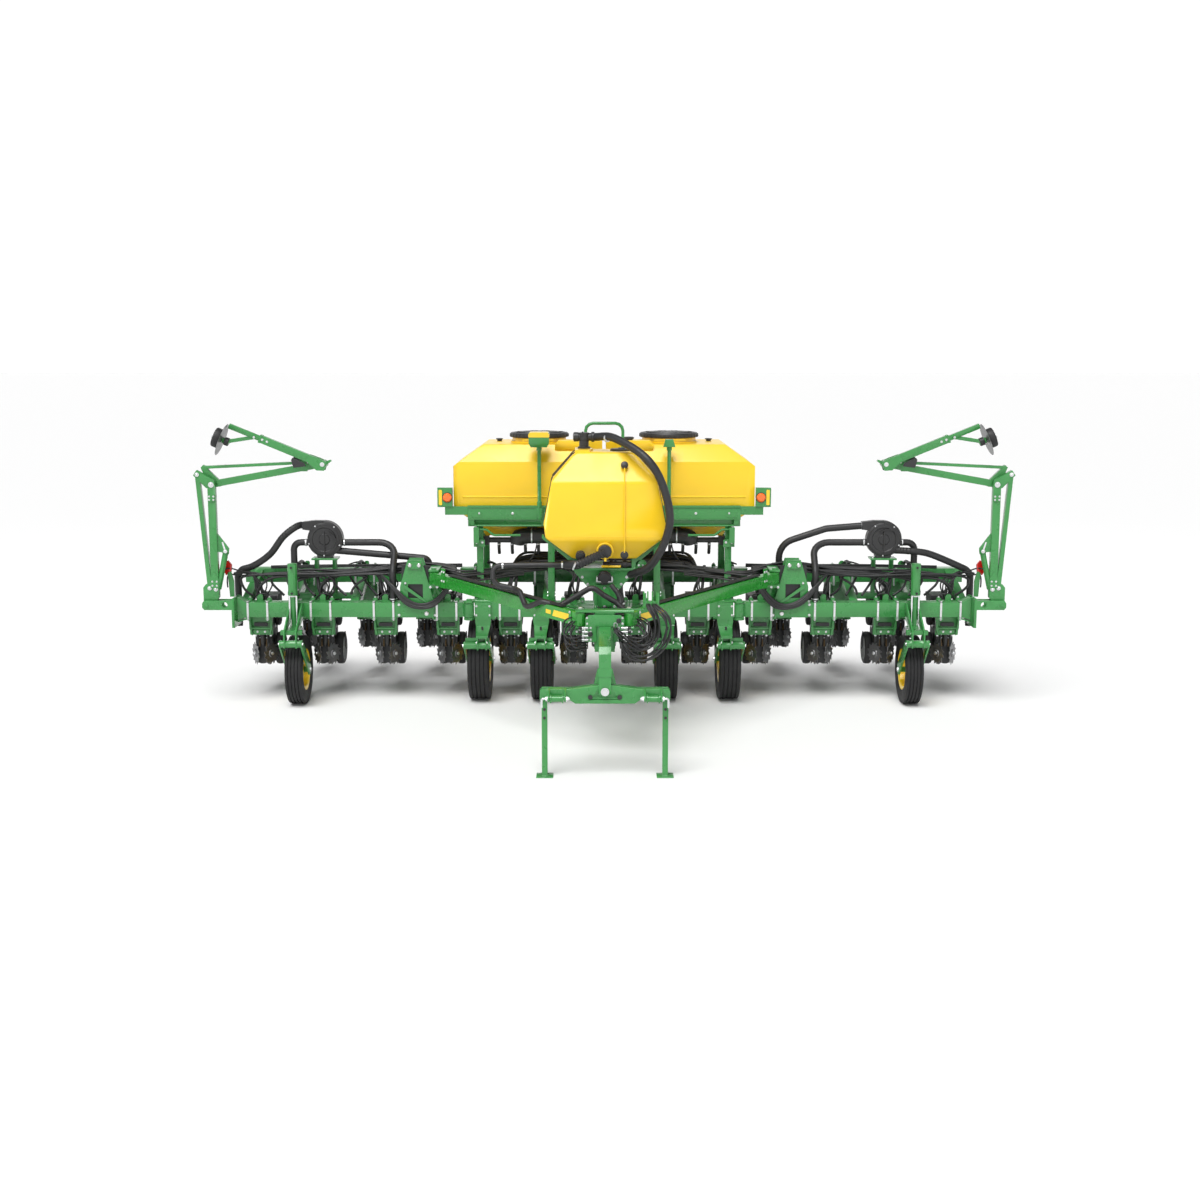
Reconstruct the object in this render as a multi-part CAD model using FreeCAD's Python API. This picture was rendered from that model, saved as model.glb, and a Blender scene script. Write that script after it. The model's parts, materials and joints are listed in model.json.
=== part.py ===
import FreeCAD, Part
import math
import os

# Split-row planter with front-folding wings, parked in its field position on six wheels and two hitch
# stands. Millimetres. X runs across the machine (+X is its own left side), -Y is the way it is towed,
# +Z is up and the ground is z = 0. The model is built with the front face of the front tool bar at
# y = 0 and moved at the end so that the origin lies under the middle of the whole machine.

# ---- driving dimensions -------------------------------------------------------------------------
ROW = 762.0                     # spacing of the rows of one rank
FRONT_RANK = 12                 # units on the front bars
REAR_RANK = 11                  # units on the rear bars, set half a row off

BAR = 178.0                     # square tool bar
BAR_WALL = 12.0
FRONT_BAR_Z = 1150.0            # centre of the front bars
REAR_BAR_Z = 1412.0             # centre of the rear bars
REAR_BAR_Y = 1100.0             # front face of the rear bars
CENTRE_FRONT_END = 2 * ROW + 25     # half length of the centre front bar, past its outer wheels
CENTRE_REAR_END = 2.5 * ROW - 74    # half length of the centre rear bar
HINGE_X = CENTRE_FRONT_END + 81     # upright hinge that a wing folds forward on
HINGE_Y = -22.0
WING_START = HINGE_X + 81           # inner end of a wing's front bar
WING_REAR_START = CENTRE_REAR_END + 69
FLEX_IN = 2.5 * ROW + 200           # wing front bar is split here by the flex hinge
FLEX_OUT = 3.5 * ROW - 212
WING_END = (FRONT_RANK - 1) / 2 * ROW + 134
WING_REAR_END = (REAR_RANK + 1) / 2 * ROW - 6
HINGE_PIN_R = 32.0
HINGE_EAR = 28.0                # thickness of the hinge ears
RUN = 0.3                       # radial clearance of a running pin, over its corners
PIN_SIDES = 16
GAP = 6.0                       # side clearance between moving pieces

TONGUE_W = 212.0                # outer tongue box
TONGUE_H = 300.0
TONGUE_Z = 1270.0               # centre height of the tongue
TONGUE_WALL = 18.0
TONGUE_END = -2330.0            # front end of the outer box
SLIDE_CLEAR = 0.8
SLIDE_BACK = -700.0             # rear end of the inner box, inside the outer one
CROSSHEAD_Y = -2420.0           # draft links pin here on the sliding tongue
CROSSHEAD_X = 254.0
CHEEK = 20.0                    # plates of the drop ahead of and behind the hitch beam
HITCH_Y = -3323.0               # hitch beam and stands

LINK_IN_Z = 1463.0              # draft link pin heights
LINK_OUT_X = FLEX_IN - 72
LINK_OUT_Y = -170.0
LINK_OUT_Z = 1567.0
LINK_W = 110.0
LINK_H = 140.0
LINK_PIN_R = 25.0

HITCH_W = 1311.0
HITCH_LOW = 765.0               # underside of the hitch beam in the middle
HITCH_HIGH = 952.0              # its top in the middle
HITCH_END_LOW = 798.0
HITCH_END_HIGH = 915.0
HITCH_BEAM_D = 120.0
HITCH_PIVOT_Z = 893.0           # bolt that the beam hangs on
LOWER_LINK_SPACING = 965.0      # category 3 lower links
LOWER_LINK_R = 18.7             # bore for a category 3 lower link pin
LOWER_LINK_Z = 832.0
LOWER_LINK_REACH = 75.0         # bore ahead of the beam's face
LUG_GAP = 142.0                 # between the two lugs of a lower link
LUG_T = 22.0
BEAM_HOLE_X = 148.0
BEAM_HOLE_R = 20.0
STAND_X = 610.0
STAND_HALF = 28.5
STAND_RUN = 0.8
STAND_TOP = 905.0
FOOT_HALF = 86.0
FOOT_T = 12.0
HOSE_BUNDLE_R = 23.0

CENTRE_WHEEL_R = 500.0
CENTRE_WHEEL_W = 268.0
CENTRE_AXLE_Y = 292.0
CENTRE_YOKE = (-232.0, 755.0)   # y and z of the tube that the wheel arms swing on
WING_WHEEL_X = 5 * ROW - 95
WING_WHEEL_R = 420.0
WING_WHEEL_W = 215.0
WING_AXLE_Y = 16.0
WING_YOKE = (-450.0, 815.0)
TYRE_SIDES = 20
RIM_SIDES = 10                  # half of the tyre's, so that the corners meet
BEAD_SHARE = 0.56               # bead seat radius as a share of a tyre's radius
AXLE_R = 35.0
ARM_T = 18.0
ARM_GAP = 10.0                  # between a tyre's side and its arm
MOUNT_HALF = 95.0               # half width of a centre wheel mount
CHEEK_GAP = 60.0                # half width between the two cheeks of a mount

TANK_IN = 22.0                  # seed and fertiliser tanks on the centre section
TANK_OUT = 1810.0
TANK_FRONT = 100.0
TANK_BACK = 1450.0
TANK_FACE_Z = 2265.0
TANK_TOP_Z = 3130.0
TANK_HOPPER_Z = 2010.0
TANK_WALL = 20.0
TANK_HUMP_Z = 3180.0            # raised inner part of a tank
HOPPER_IN = 170.0
HOPPER_OUT = 1500.0
HOPPER_FRONT = 390.0
BEAM_HALF = 1640.0              # half length of the beam ahead of the tanks
BEAM_D = 55.0
BEAM_LOW = 2240.0
BEAM_HIGH = 2410.0
DECK_H = 110.0                  # frame members that the tanks stand on
HOOP_X = 222.0                  # hand hoop between the tanks
HOOP_Z = 3395.0
MAST_X = 775.0
DUCT_Z = 2020.0
LID_X = 800.0
LID_Y = 780.0
LID_R = 360.0
NECK_H = 60.0
LID_H = 75.0

FRONT_TANK_Y = -1250.0
FRONT_TANK_HALF = 665.0
FRONT_TANK_DEPTH = 960.0
FRONT_TANK_LOW = 1990.0
FRONT_TANK_TOP = 3160.0
FRONT_TANK_FLOOR = 350.0        # half width of its floor
CRADLE_DECK = 1880.0
CRADLE_HALF = 345.0

UNIT_BOTTOM = 337.0             # lowest point of a raised row unit
GAUGE_R = 203.0
GAUGE_W = 105.0
CLEANER_R = 142.0
CLEANER_T = 14.0
CLEANER_Z = 565.0
CLEANER_TOE = 30.0              # degrees that a cleaner wheel is turned out of the row
CLOSER_R = 150.0

END_PLATE_X = WING_END + 108    # plate across the wing bar's flared end
MARKER_X = WING_END + 335       # middle of the folded marker post
MARKER_Z = 1384.0               # foot of the folded marker post
MARKER_PIVOT = (MARKER_X + 101, 1233.0)
MARKER_Y = -110.0               # middle of the layer that post and tip arm lie in
MARKER_LAYER = 80.0             # depth of each layer of the marker
POST_L = 1295.0
BOOM_L = 1349.0
BOOM_RISE = 10.3                # degrees that the folded boom rises inwards
TIP_L = 1184.0
TIP_SLEEVE_L = 795.0            # wide part of the tip arm that the narrow part slides in
TIP_RISE = 22.4                 # degrees that the folded tip arm rises outwards
MARKER_PIN_R = 22.0
MARKER_DISC_R = 197.0
MARKER_DRUM_R = 112.0
MARKER_DRUM_W = 80.0
SPINDLE_R = 15.0

BLOWER_X = 4.5 * ROW - 8
BLOWER_Y = 420.0
BLOWER_Z = 1963.0
BLOWER_R = 228.0
AIR_PIPE_R = 42.0


# ---- shapes -------------------------------------------------------------------------------------
def vec(x, y, z):
    return FreeCAD.Vector(x, y, z)


def box(x0, x1, y0, y1, z0, z1):
    return Part.makeBox(x1 - x0, y1 - y0, z1 - z0, vec(x0, y0, z0))


def tube_bar(x0, x1, y, z_centre):
    """Square tool bar of tube with welded end caps, its front face at y."""
    wall = BAR_WALL
    low = z_centre - BAR / 2
    high = z_centre + BAR / 2
    inside = box(x0 + wall, x1 - wall, y + wall, y + BAR - wall, low + wall, high - wall)
    return box(x0, x1, y, y + BAR, low, high).cut(inside)


def rod(start, end, radius):
    run = vec(*end).sub(vec(*start))
    return Part.makeCylinder(radius, run.Length, vec(*start), run)


def peg(start, end, radius, sides=8):
    """Pin, tube or boss drawn with flats, its corners on the radius."""
    run = vec(*end).sub(vec(*start))
    ring = ring_points(start, tuple(run), radius, sides)
    return Part.Face(Part.makePolygon(ring + ring[:1])).extrude(run)


def pin_hole(start, end, radius, sides=PIN_SIDES):
    """Hole drawn with flats, its flats on the radius, so that a pin with corners turns in it."""
    return peg(start, end, radius / math.cos(math.pi / sides), sides)


def prism(points, run):
    ring = [vec(*p) for p in points]
    return Part.Face(Part.makePolygon(ring + ring[:1])).extrude(vec(*run))


def plate_x(outline, x0, x1):
    """Outline of (y, z) points, as thick as x0 to x1."""
    return prism([(x0, y, z) for y, z in outline], (x1 - x0, 0, 0))


def plate_y(outline, y0, y1):
    """Outline of (x, z) points, as thick as y0 to y1."""
    return prism([(x, y0, z) for x, z in outline], (0, y1 - y0, 0))


def plate_z(outline, z0, z1):
    """Outline of (x, y) points, as thick as z0 to z1."""
    return prism([(x, y, z0) for x, y in outline], (0, 0, z1 - z0))


def unite(shapes):
    whole = shapes[0]
    if len(shapes) > 1:
        whole = shapes[0].fuse(shapes[1:])
    return whole.removeSplitter()


def group(shapes):
    return Part.makeCompound(shapes)


def mirrored(shape):
    return shape.mirror(vec(0, 0, 0), vec(1, 0, 0))


def moved(shape, x, y, z):
    copy = shape.copy()
    copy.translate(vec(x, y, z))
    return copy


def ring_points(centre, axis, radius, sides):
    axis = vec(*axis).normalize()
    side = axis.cross(vec(0, 0, 1))
    if side.Length < 0.01:
        side = vec(1, 0, 0)
    side.normalize()
    up = axis.cross(side)
    points = []
    for k in range(sides):
        turn = 2 * math.pi * (k + 0.5) / sides
        arm = side * (radius * math.cos(turn)) + up * (radius * math.sin(turn))
        points.append(vec(*centre).add(arm))
    return points


def disc(centre, axis, radius, thickness, sides):
    """Flat wheel with straight-edged rim, centred on its own thickness."""
    axis = vec(*axis).normalize()
    start = vec(*centre).sub(axis * (thickness / 2.0))
    ring = ring_points(tuple(start), tuple(axis), radius, sides)
    return Part.Face(Part.makePolygon(ring + ring[:1])).extrude(axis * thickness)


def solid_from_rings(rings, closed):
    """Solid whose skin runs through rings of points, closed on itself or with flat ends."""
    count = len(rings[0])
    faces = []
    last = len(rings) if closed else len(rings) - 1
    for k in range(last):
        low, high = rings[k], rings[(k + 1) % len(rings)]
        for j in range(count):
            n = (j + 1) % count
            corners = [low[j], low[n], high[n], high[j]]
            faces.append(Part.Face(Part.makePolygon(corners + corners[:1])))
    if not closed:
        for ring in (rings[0], rings[-1]):
            faces.append(Part.Face(Part.makePolygon(ring + ring[:1])))
    solid = Part.makeSolid(Part.makeShell(faces))
    solid.fix(0.001, 0.001, 0.001)
    return solid


def turned(profile, centre, sides):
    """Ring-shaped solid about an axis along X; profile is a loop of (radius, x) points."""
    rings = []
    for radius, x in profile:
        ring = []
        for k in range(sides):
            turn = 2 * math.pi * k / sides + math.pi / TYRE_SIDES
            y = centre[1] + radius * math.cos(turn)
            z = centre[2] + radius * math.sin(turn)
            ring.append(vec(centre[0] + x, y, z))
        rings.append(ring)
    return solid_from_rings(rings, True)


def rounded_route(points, bend, cuts=3):
    """Route with each corner replaced by a few chords of an arc of radius bend."""
    route = [vec(*points[0])]
    for before, corner, after in zip(points, points[1:], points[2:]):
        here = vec(*corner)
        back = vec(*before).sub(here).normalize()
        ahead = vec(*after).sub(here).normalize()
        half = back.getAngle(ahead) / 2.0
        reach = bend / math.tan(half)
        start = here.add(back * reach)
        middle = back.add(ahead).normalize() * (bend / math.sin(half))
        centre = here.add(middle)
        first = start.sub(centre)
        last = here.add(ahead * reach).sub(centre)
        sweep = first.getAngle(last)
        for k in range(cuts + 1):
            part = k / cuts
            arm = first * (math.sin((1 - part) * sweep) / math.sin(sweep))
            arm = arm.add(last * (math.sin(part * sweep) / math.sin(sweep)))
            route.append(centre.add(arm))
    route.append(vec(*points[-1]))
    return route


def pipe(points, radius, bend, sides=10, cuts=3):
    """Pipe of many-sided section along a route with rounded corners, mitred at each chord."""
    route = rounded_route(points, bend, cuts)
    heading = route[1].sub(route[0]).normalize()
    ring = ring_points(tuple(route[0]), tuple(heading), radius, sides)
    rings = [ring]
    for k in range(1, len(route)):
        run = route[k].sub(route[k - 1]).normalize()
        normal = run
        if k < len(route) - 1:
            normal = run.add(route[k + 1].sub(route[k]).normalize()).normalize()
        step = []
        for point in rings[-1]:
            far = route[k].sub(point).dot(normal) / run.dot(normal)
            step.append(point.add(run * far))
        rings.append(step)
    return solid_from_rings(rings, False)


# ---- tool bars and frame ------------------------------------------------------------------------
BAR_LOW = FRONT_BAR_Z - BAR / 2
BAR_HIGH = FRONT_BAR_Z + BAR / 2
REAR_LOW = REAR_BAR_Z - BAR / 2
REAR_HIGH = REAR_BAR_Z + BAR / 2
REAR_BACK = REAR_BAR_Y + BAR


def hinge_ear(z0, z1):
    """Ear on the end of the centre bar that holds the upright wing hinge pin."""
    return plate_z([(CENTRE_FRONT_END - 230, 0), (CENTRE_FRONT_END + 12, 0), (HINGE_X - 40, HINGE_Y - 57),
                    (HINGE_X + 30, HINGE_Y - 57),
                    (HINGE_X + 62, HINGE_Y - 20), (HINGE_X + 62, HINGE_Y + 25), (HINGE_X + 20, HINGE_Y + 62),
                    (CENTRE_FRONT_END, BAR), (CENTRE_FRONT_END - 230, BAR)], z0, z1)


def centre_front_bar():
    bar = tube_bar(-CENTRE_FRONT_END, CENTRE_FRONT_END, 0, FRONT_BAR_Z)
    top = hinge_ear(BAR_HIGH, BAR_HIGH + HINGE_EAR)
    bottom = hinge_ear(BAR_LOW - HINGE_EAR, BAR_LOW)
    pin = peg((HINGE_X, HINGE_Y, BAR_LOW), (HINGE_X, HINGE_Y, BAR_HIGH + HINGE_EAR + 20), HINGE_PIN_R, PIN_SIDES)
    side = unite([top, bottom, pin])
    return unite([bar, side, mirrored(side)])


def centre_rear_bar():
    return tube_bar(-CENTRE_REAR_END, CENTRE_REAR_END, REAR_BAR_Y, REAR_BAR_Z)


RAIL_W = 100.0
INNER_RAIL_X = FLEX_IN + 45
OUTER_RAIL_X = WING_END + 60


def rail_block(x, start=BAR, inset=0.0):
    """Sloping rail from the back of the front bar up to the front of the rear bar, as a solid."""
    return plate_x([(start + inset, BAR_LOW + 14 + inset), (REAR_BAR_Y - inset, REAR_LOW + 14 + inset),
                    (REAR_BAR_Y - inset, REAR_HIGH - 14 - inset), (start + inset, BAR_HIGH - 14 - inset)],
                   x - RAIL_W / 2 + inset, x + RAIL_W / 2 - inset)


def rail(x, start=BAR):
    return rail_block(x, start).cut(rail_block(x, start, BAR_WALL))


def centre_rails():
    return group([rail(side * x) for side in (-1, 1) for x in (ROW - 62, 2 * ROW - 44)])


def wing_knuckle():
    low = BAR_LOW + GAP
    high = BAR_HIGH - GAP
    web = plate_z([(HINGE_X, HINGE_Y - 60), (WING_START, 0), (WING_START, BAR), (HINGE_X + 30, HINGE_Y + 50)],
                  low, high)
    barrel = peg((HINGE_X, HINGE_Y, low), (HINGE_X, HINGE_Y, high), 60, 12)
    bore = pin_hole((HINGE_X, HINGE_Y, low - 1), (HINGE_X, HINGE_Y, high + 1), HINGE_PIN_R + RUN)
    return web.fuse(barrel).cut(bore)


FLEX_TOP = 1760.0


def flex_hinge():
    """Plates and limit link that let the outer wing follow the ground."""
    outline = [(FLEX_IN - 40, BAR_LOW), (FLEX_OUT + 5, BAR_LOW), (FLEX_OUT + 5, BAR_HIGH + 200),
               (FLEX_OUT - 90, FLEX_TOP), (FLEX_IN + 90, FLEX_TOP), (FLEX_IN - 40, BAR_HIGH + 60)]
    window = [(FLEX_IN + 80, BAR_HIGH + 60), (FLEX_OUT - 90, BAR_HIGH + 60), (FLEX_OUT - 90, BAR_HIGH + 230),
              (FLEX_IN + 80, BAR_HIGH + 230)]
    front = plate_y(outline, -25, 0).cut(plate_y(window, -30, 5))
    back = plate_y(outline, BAR, BAR + 25).cut(plate_y(window, BAR - 5, BAR + 30))
    middle = box(FLEX_IN, FLEX_OUT, 30, BAR - 30, BAR_LOW + 10, BAR_HIGH - 10)
    link = box(FLEX_IN + 90, FLEX_OUT - 90, -50, -25, FLEX_TOP - 100, FLEX_TOP - 20)
    return [front, back, middle, link]


def link_bracket():
    """Clevis ahead of the wing bar that the draft link pulls on, with the heads of its pin."""
    low = LINK_OUT_Z - LINK_H / 2 - GAP
    high = LINK_OUT_Z + LINK_H / 2 + GAP
    ear = [(LINK_OUT_X - 60, LINK_OUT_Y - 50), (LINK_OUT_X + 60, LINK_OUT_Y - 50), (LINK_OUT_X + 62, BAR),
           (LINK_OUT_X - 62, BAR)]
    post = box(LINK_OUT_X - 62, LINK_OUT_X + 62, 40, BAR, BAR_HIGH, high + 25)
    heads = [peg((LINK_OUT_X, LINK_OUT_Y, z), (LINK_OUT_X, LINK_OUT_Y, z + 20), LINK_PIN_R + 10, 6)
             for z in (low - 45, high + 25)]
    return [plate_z(ear, low - 25, low), plate_z(ear, high, high + 25), post] + heads


def wing_front_bar():
    inner = tube_bar(WING_START, FLEX_IN, 0, FRONT_BAR_Z)
    outer = tube_bar(FLEX_OUT, WING_END, 0, FRONT_BAR_Z)
    flare = plate_y([(WING_END, BAR_LOW), (END_PLATE_X, BAR_LOW - 35), (END_PLATE_X, BAR_HIGH + 60),
                     (WING_END, BAR_HIGH)], 0, BAR)
    return unite([inner, wing_knuckle(), outer, flare] + flex_hinge() + link_bracket())


def wing_rear_bar():
    bar = tube_bar(WING_REAR_START, WING_REAR_END, REAR_BAR_Y, REAR_BAR_Z)
    rails = [rail(x) for x in (4 * ROW, 5 * ROW, OUTER_RAIL_X)]
    return unite([bar, rail(INNER_RAIL_X, BAR + 25)] + rails + blower_stand())


# ---- tongue and hitch ---------------------------------------------------------------------------
TONGUE_LOW = TONGUE_Z - TONGUE_H / 2
TONGUE_HIGH = TONGUE_Z + TONGUE_H / 2
SLIDE_HALF = TONGUE_W / 2 - TONGUE_WALL - SLIDE_CLEAR
SLIDE_LOW = TONGUE_LOW + TONGUE_WALL + SLIDE_CLEAR
SLIDE_HIGH = TONGUE_HIGH - TONGUE_WALL - SLIDE_CLEAR


def tongue_tube():
    half = TONGUE_W / 2
    outer = box(-half, half, TONGUE_END, 0, TONGUE_LOW, TONGUE_HIGH)
    inner = box(-half + TONGUE_WALL, half - TONGUE_WALL, TONGUE_END - 1, -80,
                TONGUE_LOW + TONGUE_WALL, TONGUE_HIGH - TONGUE_WALL)
    tube = outer.cut(inner)
    gussets = [plate_z([(half, -700), (half, 0), (half + 420, 0)], z, z + 20)
               for z in (BAR_LOW + 70, BAR_HIGH - 20)]
    return unite([tube] + gussets + [mirrored(g) for g in gussets])


def tongue_slide():
    """Inner tongue box with the cross head of the draft links and the drop to the hitch beam."""
    inner = box(-SLIDE_HALF, SLIDE_HALF, CROSSHEAD_Y - 90, SLIDE_BACK, SLIDE_LOW, SLIDE_HIGH)
    front = HITCH_Y - HITCH_BEAM_D / 2
    back = HITCH_Y + HITCH_BEAM_D / 2
    drop = plate_x([(CROSSHEAD_Y - 90, SLIDE_LOW), (CROSSHEAD_Y - 90, SLIDE_HIGH), (HITCH_Y - 20, SLIDE_HIGH - 60),
                    (front - CHEEK, SLIDE_HIGH - 130), (front - CHEEK, HITCH_PIVOT_Z - 31), (front, HITCH_PIVOT_Z - 31),
                    (front, HITCH_HIGH), (back, HITCH_HIGH), (back, HITCH_PIVOT_Z - 31),
                    (back + CHEEK, HITCH_PIVOT_Z - 31), (back + 70, SLIDE_LOW - 10)], -62, 62)
    block = box(-TONGUE_W / 2, TONGUE_W / 2, CROSSHEAD_Y - 70, CROSSHEAD_Y + 70, TONGUE_LOW, TONGUE_HIGH + 20)
    low = LINK_IN_Z - LINK_H / 2 - GAP
    high = LINK_IN_Z + LINK_H / 2 + GAP
    reach = CROSSHEAD_X + 55
    ears = [box(-reach, reach, CROSSHEAD_Y - 60, CROSSHEAD_Y + 60, z, z + 25) for z in (low - 25, high)]
    middle = box(-100, 100, CROSSHEAD_Y - 60, CROSSHEAD_Y + 60, low, high)
    pins = [peg((x, CROSSHEAD_Y, low - 25), (x, CROSSHEAD_Y, high + 40), LINK_PIN_R, PIN_SIDES)
            for x in (-CROSSHEAD_X, CROSSHEAD_X)]
    bolt = peg((0, front - CHEEK - 16, HITCH_PIVOT_Z), (0, front - CHEEK, HITCH_PIVOT_Z), 28, 6)
    return unite([inner, drop, block, middle, bolt] + ears + pins)


def hitch_beam():
    """Beam with a clevis of two lugs for each lower link and a square socket for each stand."""
    half = HITCH_W / 2
    front = HITCH_Y - HITCH_BEAM_D / 2
    back = HITCH_Y + HITCH_BEAM_D / 2
    right = [(300, HITCH_LOW), (350, HITCH_END_LOW), (half, HITCH_END_LOW), (half, HITCH_END_HIGH - 20),
             (half - 20, HITCH_END_HIGH), (330, HITCH_END_HIGH), (62, HITCH_HIGH)]
    parts = [plate_y(right + [(-x, z) for x, z in reversed(right)], front, back)]
    bores = []
    for x in (-BEAM_HOLE_X, BEAM_HOLE_X):
        bores.append(rod((x, front - 1, LOWER_LINK_Z), (x, back + 1, LOWER_LINK_Z), BEAM_HOLE_R))
    pin_y0 = front - LOWER_LINK_REACH
    lug = [(front, HITCH_END_LOW), (pin_y0 - 10, HITCH_END_LOW), (pin_y0 - 42, LOWER_LINK_Z - 10),
           (pin_y0 - 36, LOWER_LINK_Z + 28), (front, HITCH_END_HIGH)]
    for side in (-1, 1):
        middle = side * LOWER_LINK_SPACING / 2
        for x in (middle - LUG_GAP / 2 - LUG_T, middle + LUG_GAP / 2):
            parts.append(plate_x(lug, x, x + LUG_T))
        reach = LUG_GAP / 2 + LUG_T + 1
        bores.append(rod((middle - reach, pin_y0, LOWER_LINK_Z), (middle + reach, pin_y0, LOWER_LINK_Z), LOWER_LINK_R))
        hole = STAND_HALF + STAND_RUN
        x = side * STAND_X
        bores.append(box(x - hole, x + hole, HITCH_Y - hole, HITCH_Y + hole, HITCH_END_LOW - 1, HITCH_END_HIGH + 1))
    return unite(parts).cut(bores)


def stand(side):
    """Parking stand: a square leg that slides in the beam's socket, on a foot plate."""
    x = side * STAND_X
    y = HITCH_Y
    leg = box(x - STAND_HALF, x + STAND_HALF, y - STAND_HALF, y + STAND_HALF, FOOT_T, STAND_TOP)
    foot = box(x - FOOT_HALF, x + FOOT_HALF, y - FOOT_HALF, y + FOOT_HALF, 0, FOOT_T)
    return unite([leg, foot])


def hose_bracket():
    """Plate of couplings across the inner tongue, and a comb that leads the hoses round the draft link."""
    front = CROSSHEAD_Y - 90
    plate = plate_y([(-205, 1235), (205, 1235), (205, 1485), (165, 1520), (-165, 1520), (-205, 1485)],
                    front - 15, front)
    plate = plate.cut(box(-SLIDE_HALF, SLIDE_HALF, front - 20, front + 5, SLIDE_LOW - 100, SLIDE_HIGH))
    ear_top = LINK_IN_Z + LINK_H / 2 + GAP + 25
    shelf = box(230, 573, CROSSHEAD_Y - 60, CROSSHEAD_Y - 32, ear_top, ear_top + 16)
    comb = plate_y([(403, ear_top + 16), (573, ear_top + 16), (573, 1747), (540, 1747), (540, 1660), (436, 1660),
                    (436, 1747), (403, 1747)], CROSSHEAD_Y - 58, CROSSHEAD_Y - 46)
    return group([plate, unite([shelf, comb])])


def hitch_hoses():
    """Two bundles of hydraulic hoses that hang in a loop from the comb to the plate of couplings."""
    comb = CROSSHEAD_Y - 58
    plate = CROSSHEAD_Y - 105
    inner = [(455, comb, 1625), (455, comb - 60, 1625), (560, plate - 70, 1480), (540, plate - 70, 1280),
             (400, plate - 70, 1160), (270, plate - 80, 1230), (112, plate - 100, 1380), (112, plate, 1380)]
    outer = [(520, comb, 1625), (520, comb - 70, 1625), (680, plate - 130, 1500), (650, plate - 130, 1250),
             (460, plate - 130, 1070), (260, plate - 130, 1090), (168, plate - 100, 1265), (168, plate, 1265)]
    return group([pipe(route, HOSE_BUNDLE_R, 60, 6, 1) for route in (inner, outer)])


def draft_link(side):
    start = vec(CROSSHEAD_X, CROSSHEAD_Y, LINK_IN_Z)
    end = vec(LINK_OUT_X, LINK_OUT_Y, LINK_OUT_Z)
    flat = vec(end.x - start.x, end.y - start.y, 0).normalize()
    across = vec(-flat.y, flat.x, 0)
    parts = []
    for near in (start, end):
        eye = peg((near.x, near.y, near.z - LINK_H / 2), (near.x, near.y, near.z + LINK_H / 2), 54, 12)
        parts.append(eye)
    ring = []
    for offset, height in ((-1, -1), (1, -1), (1, 1), (-1, 1)):
        ring.append(start.add(flat * 10).add(across * (offset * LINK_W / 2)).add(vec(0, 0, height * LINK_H / 2)))
    run = end.sub(flat * 10).sub(start.add(flat * 10))
    parts.append(Part.Face(Part.makePolygon(ring + ring[:1])).extrude(run))
    link = unite(parts)
    link = link.cut(pin_hole((start.x, start.y, start.z - LINK_H), (start.x, start.y, start.z + LINK_H),
                             LINK_PIN_R + RUN))
    return link if side > 0 else mirrored(link)


# ---- wheels -------------------------------------------------------------------------------------
def bead(radius):
    return radius * BEAD_SHARE


def axle_height(radius):
    """Height of an axle whose tyre rests on one of its flats."""
    return radius * math.cos(math.pi / TYRE_SIDES)


def tyre(centre, radius, width):
    half = width / 2
    seat = half * 0.80
    return turned([(bead(radius), -seat), (radius * 0.80, -half), (radius, -seat), (radius, seat),
                   (radius * 0.80, half), (bead(radius), seat)], centre, TYRE_SIDES)


def rim(centre, radius, width):
    """Rim with a dished disc that runs down to the axle."""
    half = width / 2
    seat = half * 0.80
    lip = bead(radius) - 24
    bore = (AXLE_R + RUN) / math.cos(math.pi / RIM_SIDES)
    return turned([(bead(radius), -seat), (bead(radius), seat), (lip, seat), (lip - 25, half * 0.12),
                   (bore, half * 0.30), (bore, -half * 0.20), (lip - 25, -half * 0.02), (lip, -seat)],
                  centre, RIM_SIDES)


def wheel_arms(x, axle_y, radius, width, yoke):
    """Yoke tube ahead of the tyre with an arm down each side to the axle."""
    half = width / 2 + ARM_GAP
    y, z = yoke
    axle_z = axle_height(radius)
    parts = [peg((x - half - ARM_T, y, z), (x + half + ARM_T, y, z), 44),
             peg((x - half - ARM_T, axle_y, axle_z), (x + half + ARM_T, axle_y, axle_z), AXLE_R, 10)]
    for side in (-1, 1):
        inner = x + side * half
        outer = x + side * (half + ARM_T)
        parts.append(plate_x([(y - 48, z - 20), (y - 30, z + 45), (y + 50, z + 40), (axle_y + 60, axle_z + 55),
                              (axle_y + 60, axle_z - 55), (axle_y - 40, axle_z - 60)],
                             min(inner, outer), max(inner, outer)))
    return parts


def wheel_mount(x, cheek_half, width_half, yoke):
    """Tapered mount down from the front bar, with two cheeks that hold the yoke tube."""
    y, z = yoke
    side = plate_x([(0, BAR_HIGH), (-30, BAR_HIGH), (-34, 960), (y - 42, z + 125), (y - 42, z + 90), (y + 40, z + 90),
                    (0, 940)], x - width_half, x + width_half)
    foot = width_half - 25
    front = plate_y([(x - width_half, BAR_HIGH), (x - width_half, 1010), (x - foot, z + 120), (x - foot, z + 80),
                     (x + foot, z + 80), (x + foot, z + 120), (x + width_half, 1010), (x + width_half, BAR_HIGH)],
                    y - 60, 1)
    parts = [side.common(front)]
    for k in (-1, 1):
        edge = x + k * cheek_half
        parts.append(box(min(edge, edge - k * 16), max(edge, edge - k * 16), y - 46, y + 46, z - 50, z + 90))
    return parts


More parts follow.
